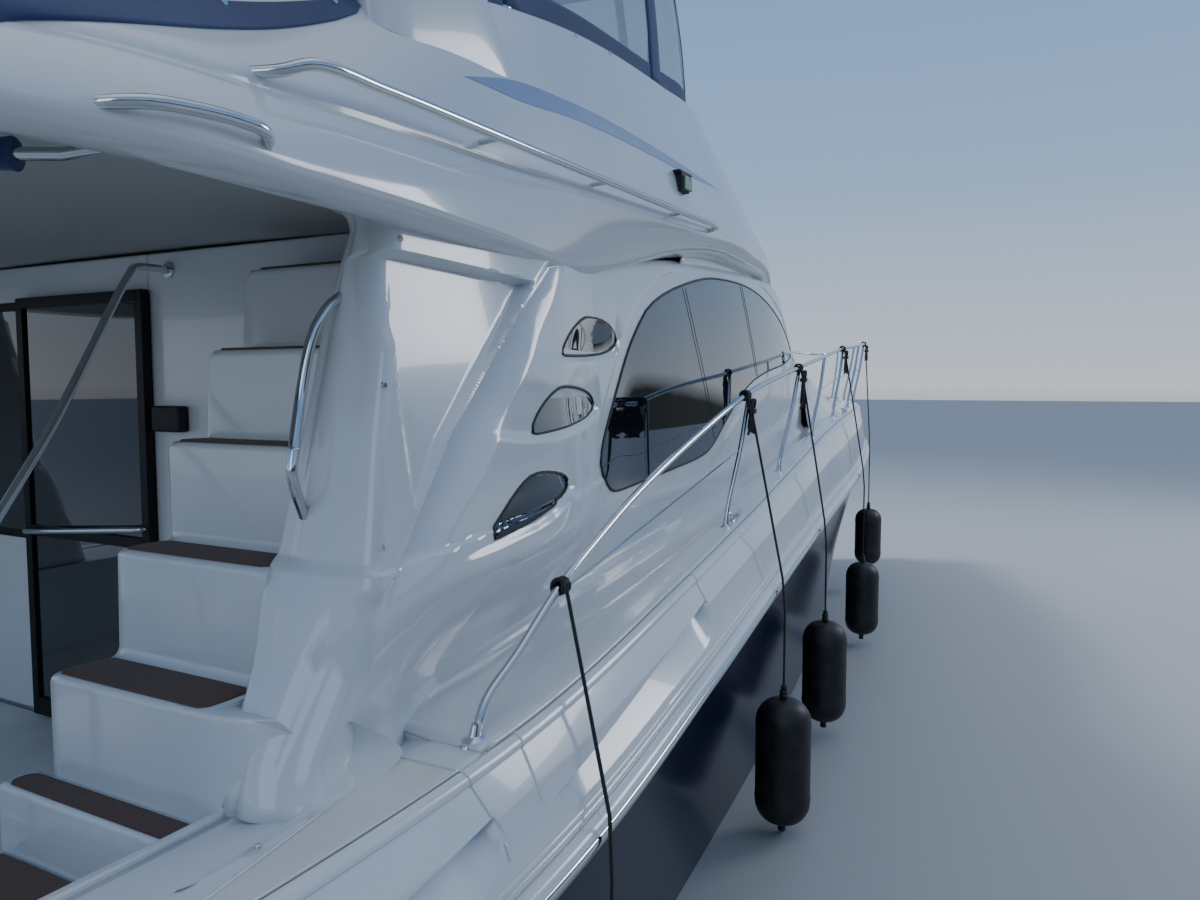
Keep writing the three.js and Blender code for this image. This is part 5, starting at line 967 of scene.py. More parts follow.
turn = np.linspace(-math.pi / 2, math.pi / 2, 15)
belt_profile = np.column_stack([0.004 + 0.04 * np.abs(np.cos(turn)) ** 0.7, 0.048 * np.sin(turn)])
belt_profile = np.vstack([(-0.02, -0.05), belt_profile, (-0.02, 0.05)])
strip_profile = np.column_stack([0.038 + 0.014 * np.abs(np.cos(turn)) ** 0.8, 0.02 * np.sin(turn)])
moulded("rub_rail_belt", both(along_rail(belt_profile)), gel_white, nodes="rub_rail")
moulded("rub_rail_strip", both(along_rail(strip_profile)), stainless, nodes="rub_rail")


def deck_height(x, y):
    """Height of the gunwale or side deck at x and y."""
    return float(deck_top(np.array([float(x)]), y)[0])


# Raised borders of the non-skid pads, and the joints where one pad's moulding meets the next.
joints = both(*(swept(rim, 0.004, 6, closed=True) for rim in borders))
for at, lean in ((-4.07, 0.05), (-3.84, -0.02), (-2.27, 0.03)):
    column = bulwark(np.array([at]))[0]
    column = column[column[:, 2] > np.interp(at, HULL_LINES[:, 0], HULL_LINES[:, 2]) + (0.2 if at > -4 else 0.12)]
    over = gunwale_roll(np.array([at]))[0][1:]
    inner_y = over[-1, 1] - 0.05 * np.arange(1, 4)
    deck_end = [(at, y, deck_height(at, y)) for y in inner_y]
    path = np.concatenate([column, over, deck_end]) + [0, 0.0005, 0.0005]
    path[:, 0] += lean * np.linspace(0.5, -0.5, len(path))
    joints += both(swept(path, 0.004, 6))
moulded("deck_joint_beads", joints, gel_white)

# ---- Bow rails
# Welded and polished stainless tube, 28 mm, from a foot on the coaming to the pulpit, on raked posts
# with oval feet, and a wire strung halfway up through the posts.
RAIL = np.array([(-3.93, 1.955, 1.47), (-3.87, 1.95, 1.56), (-3.7, 1.945, 1.65), (-3.42, 1.93, 1.8), (-3.1, 1.91, 1.92),
                 (-2.74, 1.89, 2.04), (-2.04, 1.86, 2.23), (-1.29, 1.84, 2.41), (0.17, 1.7, 2.57), (1.4, 1.56, 2.68),
                 (2.65, 1.415, 2.79), (3.9, 1.29, 2.87), (4.95, 1.12, 2.93), (5.95, 0.79, 2.94), (6.8, 0.38, 2.93),
                 (7.3, 0.16, 2.905), (7.385, 0.07, 2.9), (7.4, 0.002, 2.898)])
POSTS = ((-1.5, 1.79, -1.29), (-0.15, 1.66, 0.17), (1.18, 1.52, 1.4), (2.45, 1.375, 2.65), (3.7, 1.225, 3.9),
         (4.77, 1.05, 4.95), (5.82, 0.7, 5.95), (6.72, 0.33, 6.8))
rail_curve = bent(RAIL, 420)


def rail_point(x):
    """The point of the top rail at x."""
    return np.array([np.interp(x, rail_curve[:, 0], rail_curve[:, k]) for k in range(3)])


def oval_foot(at, lean=0.0):
    """An oval cast foot: rings that narrow as they rise to the tube."""
    turn = np.linspace(0, 2 * math.pi, 33)[:, None]
    size, up = np.array([(1.0, -0.004), (1.0, 0.007), (0.86, 0.011), (0.45, 0.02), (0.36, 0.05), (0.0, 0.05)]).T
    return at + xyz(0.052 * np.cos(turn) * size + lean * up, 0.036 * np.sin(turn) * size, up)


for hand, flip in SIDES:
    tubes = [swept(rail_curve, 0.014, 14), oval_foot((-3.935, 1.956, deck_height(-3.935, 1.956)), 0.3)]
    wire = [(-3.36, 1.93, 1.79)]
    for foot_x, foot_y, head_x in POSTS:
        foot = np.array([foot_x, foot_y, deck_height(foot_x, foot_y)])
        head = rail_point(head_x)
        knee = foot + [0.02, 0.004, 0.1]
        middle = (knee + head) / 2
        post = bent([foot - [0, 0, 0.01], knee, middle + [0.0, 0.008, 0], head], 24)
        tubes += [swept(post, 0.0125, 12), oval_foot(foot, 0.2)]
        wire.append(middle + [0.0, 0.006, 0])
    wire.append((7.2, 0.2, 2.6))
    moulded(f"bow_rail_{hand}_tube", [tube * flip for tube in tubes], stainless,
            nodes=f"bow_rail_{hand}")
    moulded(f"bow_rail_{hand}_wire", [swept(wire, 0.0035, 8) * flip], stainless)

# Handrails along the flybridge: the long one on its upper face, and a short grab rail aft below the joint.
SIDE_RAIL = ((-4.55, 1.82, 3.1), (-4.5, 1.89, 3.11), (-4.44, 1.925, 3.135), (-4.2, 1.915, 3.15), (-3.65, 1.872, 3.175),
             (-2.83, 1.8, 3.215), (-1.96, 1.735, 3.25), (-1.46, 1.7, 3.272), (-1.38, 1.68, 3.275), (-1.32, 1.6, 3.27))
SHORT_RAIL = ((-4.95, 1.9, 2.915), (-4.93, 1.95, 2.92), (-4.88, 1.985, 2.93), (-4.8, 1.99, 2.94), (-4.7, 1.99, 2.945),
              (-4.63, 1.985, 2.94), (-4.6, 1.955, 2.925), (-4.59, 1.9, 2.915))
for hand, flip in SIDES:
    tubes = [swept(bent(SIDE_RAIL, 120), 0.014, 14)]
    tubes += [swept([SIDE_RAIL[k], np.array(SIDE_RAIL[k]) - [0, 0.12, 0.005]], 0.009, 10) for k in (4, 5, 6)]
    moulded(f"side_rail_{hand}_tube", [tube * flip for tube in tubes], stainless,
            nodes=f"side_rail_{hand}")
    moulded(f"short_grab_rail_{hand}", [swept(bent(SHORT_RAIL, 70), 0.0135, 14) * flip] + [
        flange(end, (0, 1, 0.1), 0.026) * flip for end in ((-4.95, 1.925, 2.915), (-4.59, 1.925, 2.915))], stainless)

# ---- Fenders
# Black inflated vinyl fenders with moulded rope eyes, each hung on a black braided rope that is hitched
# round the bow rail, with the spare turned into a hank below the hitch.
vinyl = patterned(surface("black_inflated_vinyl", "#141416", 0.45), "TexNoise", {"Scale": 14.0, "Detail": 6.0},
                  ("#121214", "#2a2b2d"), (0.4, 0.75), {"Roughness": (0.38, 0.6)})
rope_black = patterned(surface("black_braided_polyester", "#17181a", 0.8, Sheen_Weight=0.2),
                       "TexVoronoi", {"Scale": 220.0}, ("#232427", "#0e0f10"), bump=(0.7, 0.002))
FENDER_RADIUS, ROPE = 0.15, 0.0065


def turned_piece(profile, centre, sides=48):
    """A solid of revolution about a vertical axis: (radius, height) pairs swept round the centre."""
    radius, height = np.array(profile).T
    turn = np.linspace(0, 2 * math.pi, sides + 1)[:, None]
    return np.asarray(centre) + xyz(radius * np.cos(turn), radius * np.sin(turn), height)


def fender_profile(length):
    """Radius against height: a cylinder with ends that round in as an ellipse to a ribbed neck."""
    turn = np.linspace(0, math.pi / 2, 12)
    low = [(0.02 + (FENDER_RADIUS - 0.02) * math.sin(a) ** 0.9, 0.05 + 0.13 * (1 - math.cos(a))) for a in turn]
    neck = [(0.0, 0.0), (0.018, 0.0), (0.024, 0.012), (0.018, 0.022), (0.024, 0.034), (0.02, 0.048)]
    rib = [(FENDER_RADIUS + 0.002, 0.2), (FENDER_RADIUS - 0.001, 0.21)]
    half = neck + low + rib
    return half + [(r, length - h) for r, h in reversed(half)]


def hitch(centre):
    """Three turns of rope side by side round the rail, with a fourth across them."""
    turn = np.linspace(0, 2 * math.pi, 25)[:-1]
    wave, swing = np.cos(turn), np.sin(turn)
    rings = [xyz(shift + 0.004 * swing, 0.024 * wave, 0.024 * swing) for shift in (-0.014, 0.0, 0.014)]
    rings.append(xyz(0.022 * wave, 0.022, 0.016 * swing))
    return [swept(centre + ring, ROPE, 8, closed=True) for ring in rings]


def hank(centre, length=0.2):
    """Spare rope folded in loops and gripped by two turns: narrow ovals fanned about the centre."""
    turn = np.linspace(0, 2 * math.pi, 41)[:-1]
    loops = []
    for number in range(5):
        long = length * (0.5 + 0.04 * math.cos(2.4 * number))
        loop = xyz(0.012 * (number - 2) + 0.016 * np.cos(turn), 0.01 * np.cos(turn * 2 + number),
                   long * np.sin(turn) - long)
        loops.append(swept(centre + loop, ROPE * 0.9, 8, closed=True))
    wraps = [centre + xyz(0.03 * np.cos(turn), 0.02 * np.sin(turn), z) for z in (-0.055, -0.068)]
    return loops + [swept(wrap, ROPE, 8, closed=True) for wrap in wraps]


# Each fender: x, y of its middle, bottom, top, x of the hitch, length of the hank (0 for none).
for number, (x, y, low, high, hitch_x, spare) in enumerate((
    (-3.65, 2.238, 0.01, 0.8, -3.42, 0.0), (-1.21, 2.028, 0.01, 0.8, -1.37, 0.17),
    (0.24, 1.888, 0.07, 0.87, 0.13, 0.24), (2.63, 1.642, 0.06, 0.84, 2.61, 0.2),
    (4.93, 1.221, 0.28, 1.04, 4.93, 0.16)), start=1):
    body = turned_piece(fender_profile(high - low), (x, y, low))
    rub_y, rub_z = faired(HULL_LINES, x)[0, :2]
    knot = rail_point(hitch_x)
    rope = [(x, y, high - 0.02), (x, y, high + 0.05), (x + 0.005, y - 0.002, rub_z - 0.1),
            (x + 0.03, rub_y + 0.062, rub_z + 0.07), knot + [0, 0.022, -0.004]]
    path = np.concatenate([np.linspace(a, b, 12)[:-1] for a, b in zip(rope[:-1], rope[1:])] + [[rope[-1]]])
    stopper = [(0.0, -0.012), (0.016, -0.006), (0.018, 0.004), (0.012, 0.016), (0.0, 0.02)]
    pieces = [swept(path, ROPE, 10), turned_piece(stopper, (x, y, high + 0.01), 20)] + hitch(knot)
    if spare:
        pieces += hank(knot + [0.02, 0.03, -0.02], spare)
    moulded(f"fender_{number}_body", [body * MIRROR], vinyl, nodes=f"fender_{number}")
    moulded(f"fender_{number}_rope", [g * MIRROR for g in pieces], rope_black, nodes=f"fender_{number}")

# Deck fittings: mooring cleats, and the snap studs for the covers.
CLEAT = np.array([(-0.13, 0.0, 0.048), (-0.1, 0.0, 0.05), (-0.04, 0.0, 0.046), (0.04, 0.0, 0.046), (0.1, 0.0, 0.05),
                  (0.13, 0.0, 0.048)])
horn_radius = np.interp(np.linspace(0, 1, 24), (0, 0.2, 0.5, 0.8, 1), (0.006, 0.012, 0.013, 0.012, 0.006))
cleat = [swept(bent(CLEAT, 24), horn_radius, 12)]
for leg in (-0.035, 0.035):
    cleat.append(swept([(leg * 1.5, 0, -0.004), (leg * 1.2, 0, 0.01), (leg, 0, 0.045)], (0.016, 0.011, 0.01), 12))
CLEATS_AT = ((-1.35, 1.79), (2.9, 1.38), (-5.9, 1.93), (6.25, 0.5))
moulded("mooring_cleats", [(piece + [x, y, deck_height(x, y)]) * side
                           for x, y in CLEATS_AT for side in (1, MIRROR) for piece in cleat], stainless)
wing_studs = on_side(np.array([(-4.05, 2.83), (-4.16, 2.45), (-4.2, 2.05), (-4.17, 1.97)]), -0.002)
DECK_STUDS = ((-4.27, 1.79, 1.474), (-4.17, 1.74, 1.476), (-4.61, 1.885, 1.468), (-5.1, 1.9, 1.462), (-5.6, 1.9, 1.458))
moulded("snap_studs", both(*(flange(at, (0, 1, 0), 0.0085, 0.007, 16) for at in wing_studs),
                           *(flange(at, (0, 0, 1), 0.0085, 0.007, 16) for at in DECK_STUDS)), stainless)

# Starboard and port running lights in black housings on the flybridge side, hooded, with a coloured lens.
for hand, code, side in (("starboard", "#1f6b45", -1), ("port", "#7c1f22", 1)):
    tinted_lens = patterned(surface(f"{hand}_running_lens", code, 0.15, Coat_Weight=0.5),
                            "TexWave", {"Scale": 120.0}, bump=(0.4, 0.001), bands_direction="Z")
    y0, y1 = sorted(side * v for v in (1.53, 1.66))
    boxes(f"running_light_{hand}", [(-1.8, -1.7, y0, y1, 3.39, 3.48), (-1.82, -1.67, y0, y1, 3.475, 3.49)], seal_rubber,
          bevel=0.006)
    y0, y1 = sorted(side * v for v in (1.64, 1.672))
    boxes(f"running_lens_{hand}", [(-1.785, -1.69, y0, y1, 3.4, 3.468)], tinted_lens, bevel=0.008)


# ---- Canvas top, its frame and the enclosure
# Navy acrylic canvas laced over three bows of stainless tube with a bar along each side. From it a clear
# vinyl enclosure with canvas borders hangs to the coaming, where it is snapped down.
TOP_HALF, TOP_EDGE, TOP_CROWN, TOP_LIFT = 1.33, 4.89, 0.11, 0.016
TOP_LINES = np.array([  # x, narrowing of the half-width, drop of the edge
    (-4.98, 0.06, 0.04), (-4.4, 0.01, 0.008), (-3.3, 0.0, 0.0), (-2.0, 0.01, 0.004), (-1.1, 0.06, 0.03),
    (-0.76, 0.16, 0.07)])
BOWS = ((-4.7, 1.215, -4.48, 1.592), (-2.9, 1.25, -3.08, 1.492), (-1.15, 1.195, -1.56, 1.368))


# Woven acrylic: a soft sheen, faded patches, and a plain weave as a fine bump.
navy_canvas = patterned(surface("navy_acrylic_canvas", "#27406f", 0.85, Sheen_Weight=0.3, Sheen_Roughness=0.4),
                        "TexNoise", {"Scale": 2.4, "Detail": 5.0}, ("#1d3260", "#27406f"), (0.35, 0.7))
tree = navy_canvas.node_tree
yarn, place = {"Scale": 260.0, "Distortion": 0.4}, {"Vector": (tree.nodes["Texture Coordinate"], "Object")}
warp = add(tree, "TexWave", yarn, place)
weft = add(tree, "TexWave", yarn, place, bands_direction="Z")
crossed = add(tree, "Math", links={0: (warp, 1), 1: (weft, 1)}, operation="ADD")
weave = add(tree, "Bump", {"Strength": 0.35, "Distance": 0.001}, {"Height": (crossed, 0)})
tree.links.new(weave.outputs[0], tree.nodes["Principled BSDF"].inputs["Normal"])


def canvas_height(x, y):
    """Height of the canvas: the edge's height, plus a crown that falls as the square of y."""
    narrow, drop = faired(TOP_LINES, x).T
    return TOP_EDGE - drop + TOP_CROWN * (1 - (y / (TOP_HALF - narrow)) ** 2)


def run(points):
    """Length of a row of points."""
    return float(np.linalg.norm(np.diff(points, axis=0), axis=1).sum())


top_x = np.linspace(-4.975, -0.765, 150)
t = np.linspace(-1, 1, 81)
half_width = TOP_HALF - faired(TOP_LINES, top_x)[:, :1]
top_y = half_width * t
top_z = np.stack([canvas_height(top_x, y) for y in top_y.T], 1) + TOP_LIFT
bow_x = [bow[0] for bow in BOWS]
span = np.interp(top_x, [-4.975] + bow_x + [-0.765], [0, 1, 2, 3, 4])
sag = np.sin(math.pi * span) ** 2  # 0 at each bow to 1 midway
top_z += (0.0035 * np.sin(19 * top_y + 3 * np.sin(2.3 * top_x)[:, None]) - 0.014 * (1 - t**4)) * sag[:, None]
sheet = rows_at(top_x, top_y, top_z)
fall = np.linspace(1, 0, 9)[:, None] * [0, 0.01, -0.06]  # the side hem, from its lower edge up to the sheet
cover = np.concatenate([sheet[:, :1] + fall[:-1] * MIRROR, sheet, sheet[:, -1:] + fall[-2::-1]], 1)
canvas_top = moulded("canvas_top_sheet", [cover], navy_canvas, wall=0.0035, nodes="canvas_top")
seams = []
for y in (-0.62, 0.0, 0.62):
    seam_z = canvas_height(top_x, y) + TOP_LIFT + 0.001 - 0.014 * sag * (1 - (y / TOP_HALF) ** 4)
    seams.append(swept(xyz(top_x, y, seam_z)[::2], 0.004, 6))
seams += [swept(cover[::2, side] + [0, 0, 0.002], 0.006, 8) for side in (0, -1)]
seams += [swept(cover[end, ::2], 0.006, 8) for end in (0, -1)]
top_seams = moulded("canvas_top_seams", seams, navy_canvas, nodes="canvas_top")


def coaming_at(x):
    """Half-width and height of the coaming's top at x."""
    return faired(BRIDGE_LINES, x)[:, 4:6].T


def under(x, y, gap=0.008):
    """The point at x and y that is a gap below the canvas."""
    return np.array([x, y, canvas_height(x, y)[0] - gap])


tubes = []
for x, half, foot_x, foot_y in BOWS:
    foot = np.array([foot_x, foot_y, coaming_at(foot_x)[1][0] - 0.01])
    shoulder = under(x, half, 0.083)
    port_side = [foot, (foot + shoulder) / 2, shoulder, under(x, half - 0.07), under(x, 0.93), under(x, 0.53)]
    path = port_side + [under(x, 0.0)] + [point * MIRROR for point in port_side[::-1]]
    tubes.append(swept(bent(path, 130), 0.0125, 12))
    foot += [0, -0.004, 0.002]
    tubes += [oval_foot(foot), oval_foot(foot * MIRROR)]
along = [under(x, half, 0.09) for x, half, _, _ in BOWS]
bars = [swept(bent(along, 50), 0.0115, 12)]
bars += [swept([at - [0.03, 0, 0], at + [0.03, 0, 0]], 0.017, 12) for at in along]
tubes += [bar * side for side in (1, MIRROR) for bar in bars]
moulded("canvas_frame_tubes", tubes, stainless, nodes="canvas_frame")

# The enclosure hangs from the canvas: clear vinyl, with canvas borders at head and foot and canvas over
# the zips. Each row: x and half-width at the foot, x and half-width at the head, from aft round to the middle.
CURTAIN = np.array([
    (-5.01, 1.631, -4.96, 1.262), (-4.4, 1.612, -4.38, 1.31), (-3.6, 1.552, -3.56, 1.319), (-2.83, 1.492, -2.8, 1.318),
    (-1.5, 1.382, -1.56, 1.3), (-0.86, 1.276, -1.01, 1.235), (-0.69, 1.12, -0.9, 1.1), (-0.65, 0.6, -0.85, 0.6),
    (-0.64, 0.0, -0.84, 0.0)])
clear_vinyl = patterned(surface("clear_vinyl", "#c9d4dc", 0.06, IOR=1.5, Coat_Weight=0.6, Alpha=0.34),
                        "TexNoise", {"Scale": 1.7, "Detail": 3.0}, ranges={"Alpha": (0.26, 0.44)}, bump=(0.35, 0.05))
half_s = np.linspace(0, 8, 150)
rows = faired(np.column_stack([np.arange(9), CURTAIN]), half_s)
foot = xyz(rows[:, 0], rows[:, 1], coaming_at(rows[:, 0])[1] - 0.004)
head = xyz(rows[:, 2], rows[:, 3], canvas_height(rows[:, 2], rows[:, 3]) - 0.01)
foot, head = (np.concatenate([g, g[-2::-1] * MIRROR]) for g in (foot, head))
along_s = np.concatenate([half_s, 16 - half_s[-2::-1]])
flow = np.gradient(foot[:, :2], axis=0)
outward = np.stack([flow[:, 1], -flow[:, 0]], -1)
outward /= np.linalg.norm(outward, axis=1)[:, None]
outward *= np.where((outward * (foot[:, :2] - [-2.8, 0])).sum(1) < 0, -1, 1)[:, None]


def hung(picked, heights, lift=0.0):
    """Part of the enclosure: rows picked along it, heights 0 at the foot to 1 at the head, bellied out a little
    between, with a soft vertical ripple."""
    grid = foot[picked][:, None] + (head[picked] - foot[picked])[:, None] * heights[:, None]
    belly = (0.012 + 0.005 * np.sin(along_s[picked][:, None] * 9.0)) * np.sin(math.pi * heights) + lift
    grid[..., :2] += outward[picked][:, None] * belly[..., None]
    return grid


every = np.arange(len(foot))
vinyl_grid = hung(every, np.linspace(0, 1, 28))
windows = moulded("enclosure_vinyl", [vinyl_grid], clear_vinyl, wall=0.001, nodes="curtain")
strips = [hung(every, np.linspace(0, 0.1, 8), 0.0025), hung(every, np.linspace(0.92, 1, 6), 0.0025)]
for at, wide in ((0.0, 0.28), (1.82, 0.1), (2.78, 0.1), (4.0, 0.09), (5.35, 0.14), (6.6, 0.07), (8.0, 0.09),
                 (9.4, 0.07), (10.65, 0.14), (12.0, 0.09), (13.22, 0.1), (14.18, 0.1), (16.0, 0.28)):
    picked = np.nonzero(np.abs(along_s - at) <= wide)[0]
    strips.append(hung(picked, np.linspace(0.01, 0.99, 24), 0.004))
borders = moulded("enclosure_borders", strips, navy_canvas, wall=0.0025, nodes="curtain")

# The sizes that both were cut to before they were hung: across and along.
cover_across, cover_along = run(cover[75]), run(cover[:, 49])
curtain_high = max(run(column) for column in vinyl_grid)
curtain_long = max(run(vinyl_grid[:, 0]), run(vinyl_grid[:, -1]))

# The well's canvas apron: a bolt rope of navy canvas along the aft coaming, snapped down at its edge.
apron_x = np.linspace(-5.1, -3.98, 60)
fall = np.interp(apron_x, (-5.1, -4.8, -4.5, -4.12, -4.02, -3.98), (0.15, 0.12, 0.09, 0.06, 0.045, 0.02))
span = coaming_at(apron_x)[1] - faired(BRIDGE_LINES, apron_x)[:, 3]
v = 2.0 - (fall / span)[:, None] * np.linspace(1, 0, 10)[None]
apron = bridge_face(apron_x, v) + [0, 0.005, 0]
over = xyz(apron_x, coaming_at(apron_x)[0] - 0.01, coaming_at(apron_x)[1] + 0.006)[:, None]
moulded("coaming_canvas_hems", both(np.concatenate([apron, over], 1)), navy_canvas, wall=0.003)
snap_x = np.array([-4.9, -4.45, -4.08, -2.6, -2.25, -1.5])
snaps_at = np.column_stack([snap_x, *coaming_at(snap_x)]) + [0, 0.042, -0.035]
moulded("enclosure_snaps", both(*(flange(at, (0, 1, 0.15), 0.008, 0.006, 14) for at in snaps_at)), stainless)

# ---- Radar arch, radome and mast light
# White moulded arch raked aft over the flybridge: two legs with rounded edges and a flat beam, which carries
# a closed white radome and the all-round light on its stub mast.
ARCH = np.array([  # height, aft and forward edge, inner and outer face
    (3.42, -3.98, -3.24, 1.61, 1.7), (3.76, -4.03, -3.44, 1.582, 1.67), (4.4, -4.3, -3.8, 1.51, 1.592),
    (5.06, -4.64, -4.2, 1.425, 1.5), (5.14, -4.68, -4.18, 1.4, 1.49)])
leg_z = np.linspace(3.42, 5.14, 60)
aft, fore, inner, outer = faired(ARCH, leg_z).T[:, :, None]
turn = np.linspace(0, 2 * math.pi, 49)
leg = xyz((aft + fore) / 2 + (fore - aft) / 2 * squared(np.cos(turn), 0.45),
          (inner + outer) / 2 + (outer - inner) / 2 * squared(np.sin(turn), 0.55), leg_z[:, None])
beam_end = np.append(np.linspace(1.4, 1.49, 7), 1.495)
beam_y = np.concatenate([-beam_end[::-1], np.linspace(-1.3, 1.3, 27), beam_end])[:, None]
shrink = np.sqrt(np.maximum(0, 1 - np.clip((np.abs(beam_y) - 1.4) / 0.095, 0, 1) ** 3))
shrink[0] = shrink[-1] = 0
beam = xyz(-4.43 + 0.248 * squared(np.cos(turn), 0.5) * shrink, beam_y,
           5.1225 + 0.066 * squared(np.sin(turn), 0.6) * shrink)
moulded("radar_arch_moulding", [leg, leg * MIRROR, beam], gel_white, crease=50,
        nodes="radar_arch")
DOME = ((0, 0), (0.18, 0), (0.2, 0.008), (0.285, 0.055), (0.296, 0.075), (0.3, 0.1), (0.3, 0.116), (0.295, 0.119),
        (0.3, 0.123), (0.298, 0.14), (0.285, 0.18), (0.25, 0.215), (0.18, 0.24), (0.09, 0.249), (0, 0.25))
moulded("radome_shell", [turned_piece(DOME, (-4.43, 0, 5.1903), 64)], gel_white, nodes="radome")
STEM_FOOT = ((0, 0), (0.03, 0), (0.032, 0.006), (0.024, 0.012), (0, 0.012))
MAST_LENS = ((0, 0), (0.03, 0), (0.032, 0.008), (0.032, 0.06), (0.026, 0.067), (0, 0.068))
moulded("mast_light_stem", [swept([(-4.56, -0.62, 5.18), (-4.56, -0.62, 5.555)], 0.013, 14),
                            turned_piece(STEM_FOOT, (-4.56, -0.62, 5.19), 24)], stainless, nodes="radar_arch")
moulded("mast_light_lens", [turned_piece(MAST_LENS, (-4.56, -0.62, 5.551), 28)], lens, nodes="radar_arch")

# Cockpit shade: navy canvas rolled up and strapped under the overhang, its end sleeve on a stainless tube.
roll_path = ((-5.05, -1.0, 2.86), (-5.04, -1.3, 2.862), (-5.0, -1.55, 2.865), (-4.93, -1.68, 2.868))
moulded("shade_roll", [swept(bent(roll_path, 40), 0.032 + 0.003 * np.sin(np.linspace(0, 25, 40)), 20)], navy_canvas)
moulded("shade_roll_tube", [swept([(-4.935, -1.672, 2.868), (-4.88, -1.74, 2.872), (-4.83, -1.79, 2.89)], 0.0125, 14),
                            flange((-4.82, -1.795, 2.895), (0.3, -0.5, -0.6), 0.024)], stainless)


# ---- Cushions
# Closed-cell foam pads in off-white marine vinyl, sewn with a welted seam and snapped to their bases: the
# flybridge lounge and helm seat, the cockpit bench, and the salon settee.
cushion_vinyl = patterned(surface("cream_marine_vinyl", "#d8d3c6", 0.42, Sheen_Weight=0.1),
                          "TexVoronoi", {"Scale": 260.0}, bump=(0.2, 0.001))
patterned(cushion_vinyl, "TexNoise", {"Scale": 3.0, "Detail": 5.0}, ("#c6bfae", "#ddd9cd"))


def cushion(node, name, x0, x1, y0, y1, z0, z1, face):
    """A foam pad: crowned on the side it is sat on, flat behind, its seam pulled in between the corners. Across
    each half, height falls as the fourth root of (1 - u^6)(1 - v^6)."""
    low, high = np.array([x0, y0, z0]), np.array([x1, y1, z1])
    centre, half = (low + high) / 2, (high - low) / 2
    a, b, c = {"z": (0, 1, 2), "x": (1, 2, 0), "y": (2, 0, 1)}[face]
    s = np.sin(np.linspace(-math.pi / 2, math.pi / 2, 29))
    u, w = np.meshgrid(s, s, indexing="ij")
    plump = (np.maximum(0, 1 - u ** 6) * np.maximum(0, 1 - w ** 6)) ** 0.25
    grids, pull = [], 0.012
    for sign, full in ((1, 1.0), (-1, 0.98)):
        grid = np.empty(u.shape + (3,))
        grid[..., a] = centre[a] + u * (half[a] - pull * (1 - w ** 2) * np.abs(u) ** 4)
        grid[..., b] = centre[b] + w * (half[b] - pull * (1 - u ** 2) * np.abs(w) ** 4)
        rise = plump * full * (1 - (0.1 * (u ** 2 + w ** 2) / 2 if sign > 0 else 0))
        grid[..., c] = centre[c] + sign * half[c] * rise
        grids.append(grid)
    welt = centre + (rim_of(grids[0]) - centre) * 0.985
    moulded(f"{name}_welt", [swept(welt, 0.005, 8, closed=True)], cushion_vinyl, node)
    moulded(name, grids, cushion_vinyl, node, crease=60)


PADS = (  # node, pads: name, x range, y range, z range, the way its crown faces
    ("lounge_cushion", (("lounge_pad_port", -4.97, -4.61, 0.24, 1.27, 3.272, 3.4, "z"),
                        ("lounge_pad_starboard", -4.97, -4.61, -0.81, 0.235, 3.272, 3.4, "z"),
                        ("lounge_pad_side_aft", -4.6, -3.94, 0.865, 1.27, 3.272, 3.4, "z"),
                        ("lounge_pad_side_fore", -3.935, -3.27, 0.865, 1.27, 3.272, 3.4, "z"))),
    ("cockpit_cushion", (("bench_pad_starboard", -6.16, -5.81, -1.49, -0.385, 1.302, 1.43, "z"),
                         ("bench_pad_port", -6.16, -5.81, -0.38, 0.73, 1.302, 1.43, "z"),
                         ("bench_back_starboard", -6.285, -6.165, -1.49, -0.385, 1.302, 1.615, "x"),
                         ("bench_back_port", -6.285, -6.165, -0.38, 0.73, 1.302, 1.615, "x"))),
    ("helm_seat_cushion", (("helm_seat_pad", -2.2, -1.755, -0.515, 0.515, 3.542, 3.668, "z"),
                           ("helm_seat_back", -2.272, -2.15, -0.515, 0.515, 3.66, 4.085, "x"))),
    ("settee_cushion", (("settee_pad_aft", -2.895, -1.903, 0.545, 1.08, 1.282, 1.42, "z"),
                        ("settee_pad_fore", -1.897, -0.905, 0.545, 1.08, 1.282, 1.42, "z"),
                        ("settee_back_aft", -2.895, -1.903, 1.08, 1.195, 1.4, 1.835, "y"),
                        ("settee_back_fore", -1.897, -0.905, 1.08, 1.195, 1.4, 1.835, "y"))))
for node, pads in PADS:
    for pad in pads:
        cushion(node, *pad)

# ---- Cabin furniture
# Varnished cherry joinery that shows through the side glass: the settee's base, and the galley block with
# its pale solid-surface top.
cherry = patterned(surface("varnished_cherry", "#6b3a22", 0.28, Coat_Weight=0.5, Coat_Roughness=0.08),
                   "TexNoise", {"Scale": 3.0, "Detail": 8.0, "Distortion": 0.6}, ("#4a2414", "#8a5030"), (0.35, 0.68),
                   mapping={"Scale": (1.2, 9.0, 9.0)})
worktop = patterned(surface("speckled_solid_surface", "#c9c4b8", 0.3), "TexNoise", {"Scale": 180.0, "Detail": 1.0},
                    ("#9a9386", "#d2cdc2"), (0.4, 0.6))
drawers = [(-2.88 + 0.66 * n, -2.26 + 0.66 * n, 0.562, 0.58, 1.02, 1.25) for n in range(3)]
boxes("settee_joinery", [(-2.9, -0.9, 0.565, 1.18, 0.981, 1.28)] + drawers, cherry, bevel=0.006,
      nodes="settee_base")
doors = [(-2.48 + 0.47 * n, -2.04 + 0.47 * n, -0.66, -0.642, 1.08, 1.83) for n in range(4)]
boxes("galley_cabinets", [(-2.5, -0.6, -1.19, -0.645, 0.981, 1.86)] + doors, cherry, bevel=0.006,
      nodes="galley")
boxes("galley_worktop", [(-2.52, -0.58, -1.2, -0.62, 1.858, 1.895)], worktop, bevel=0.008, nodes="galley")

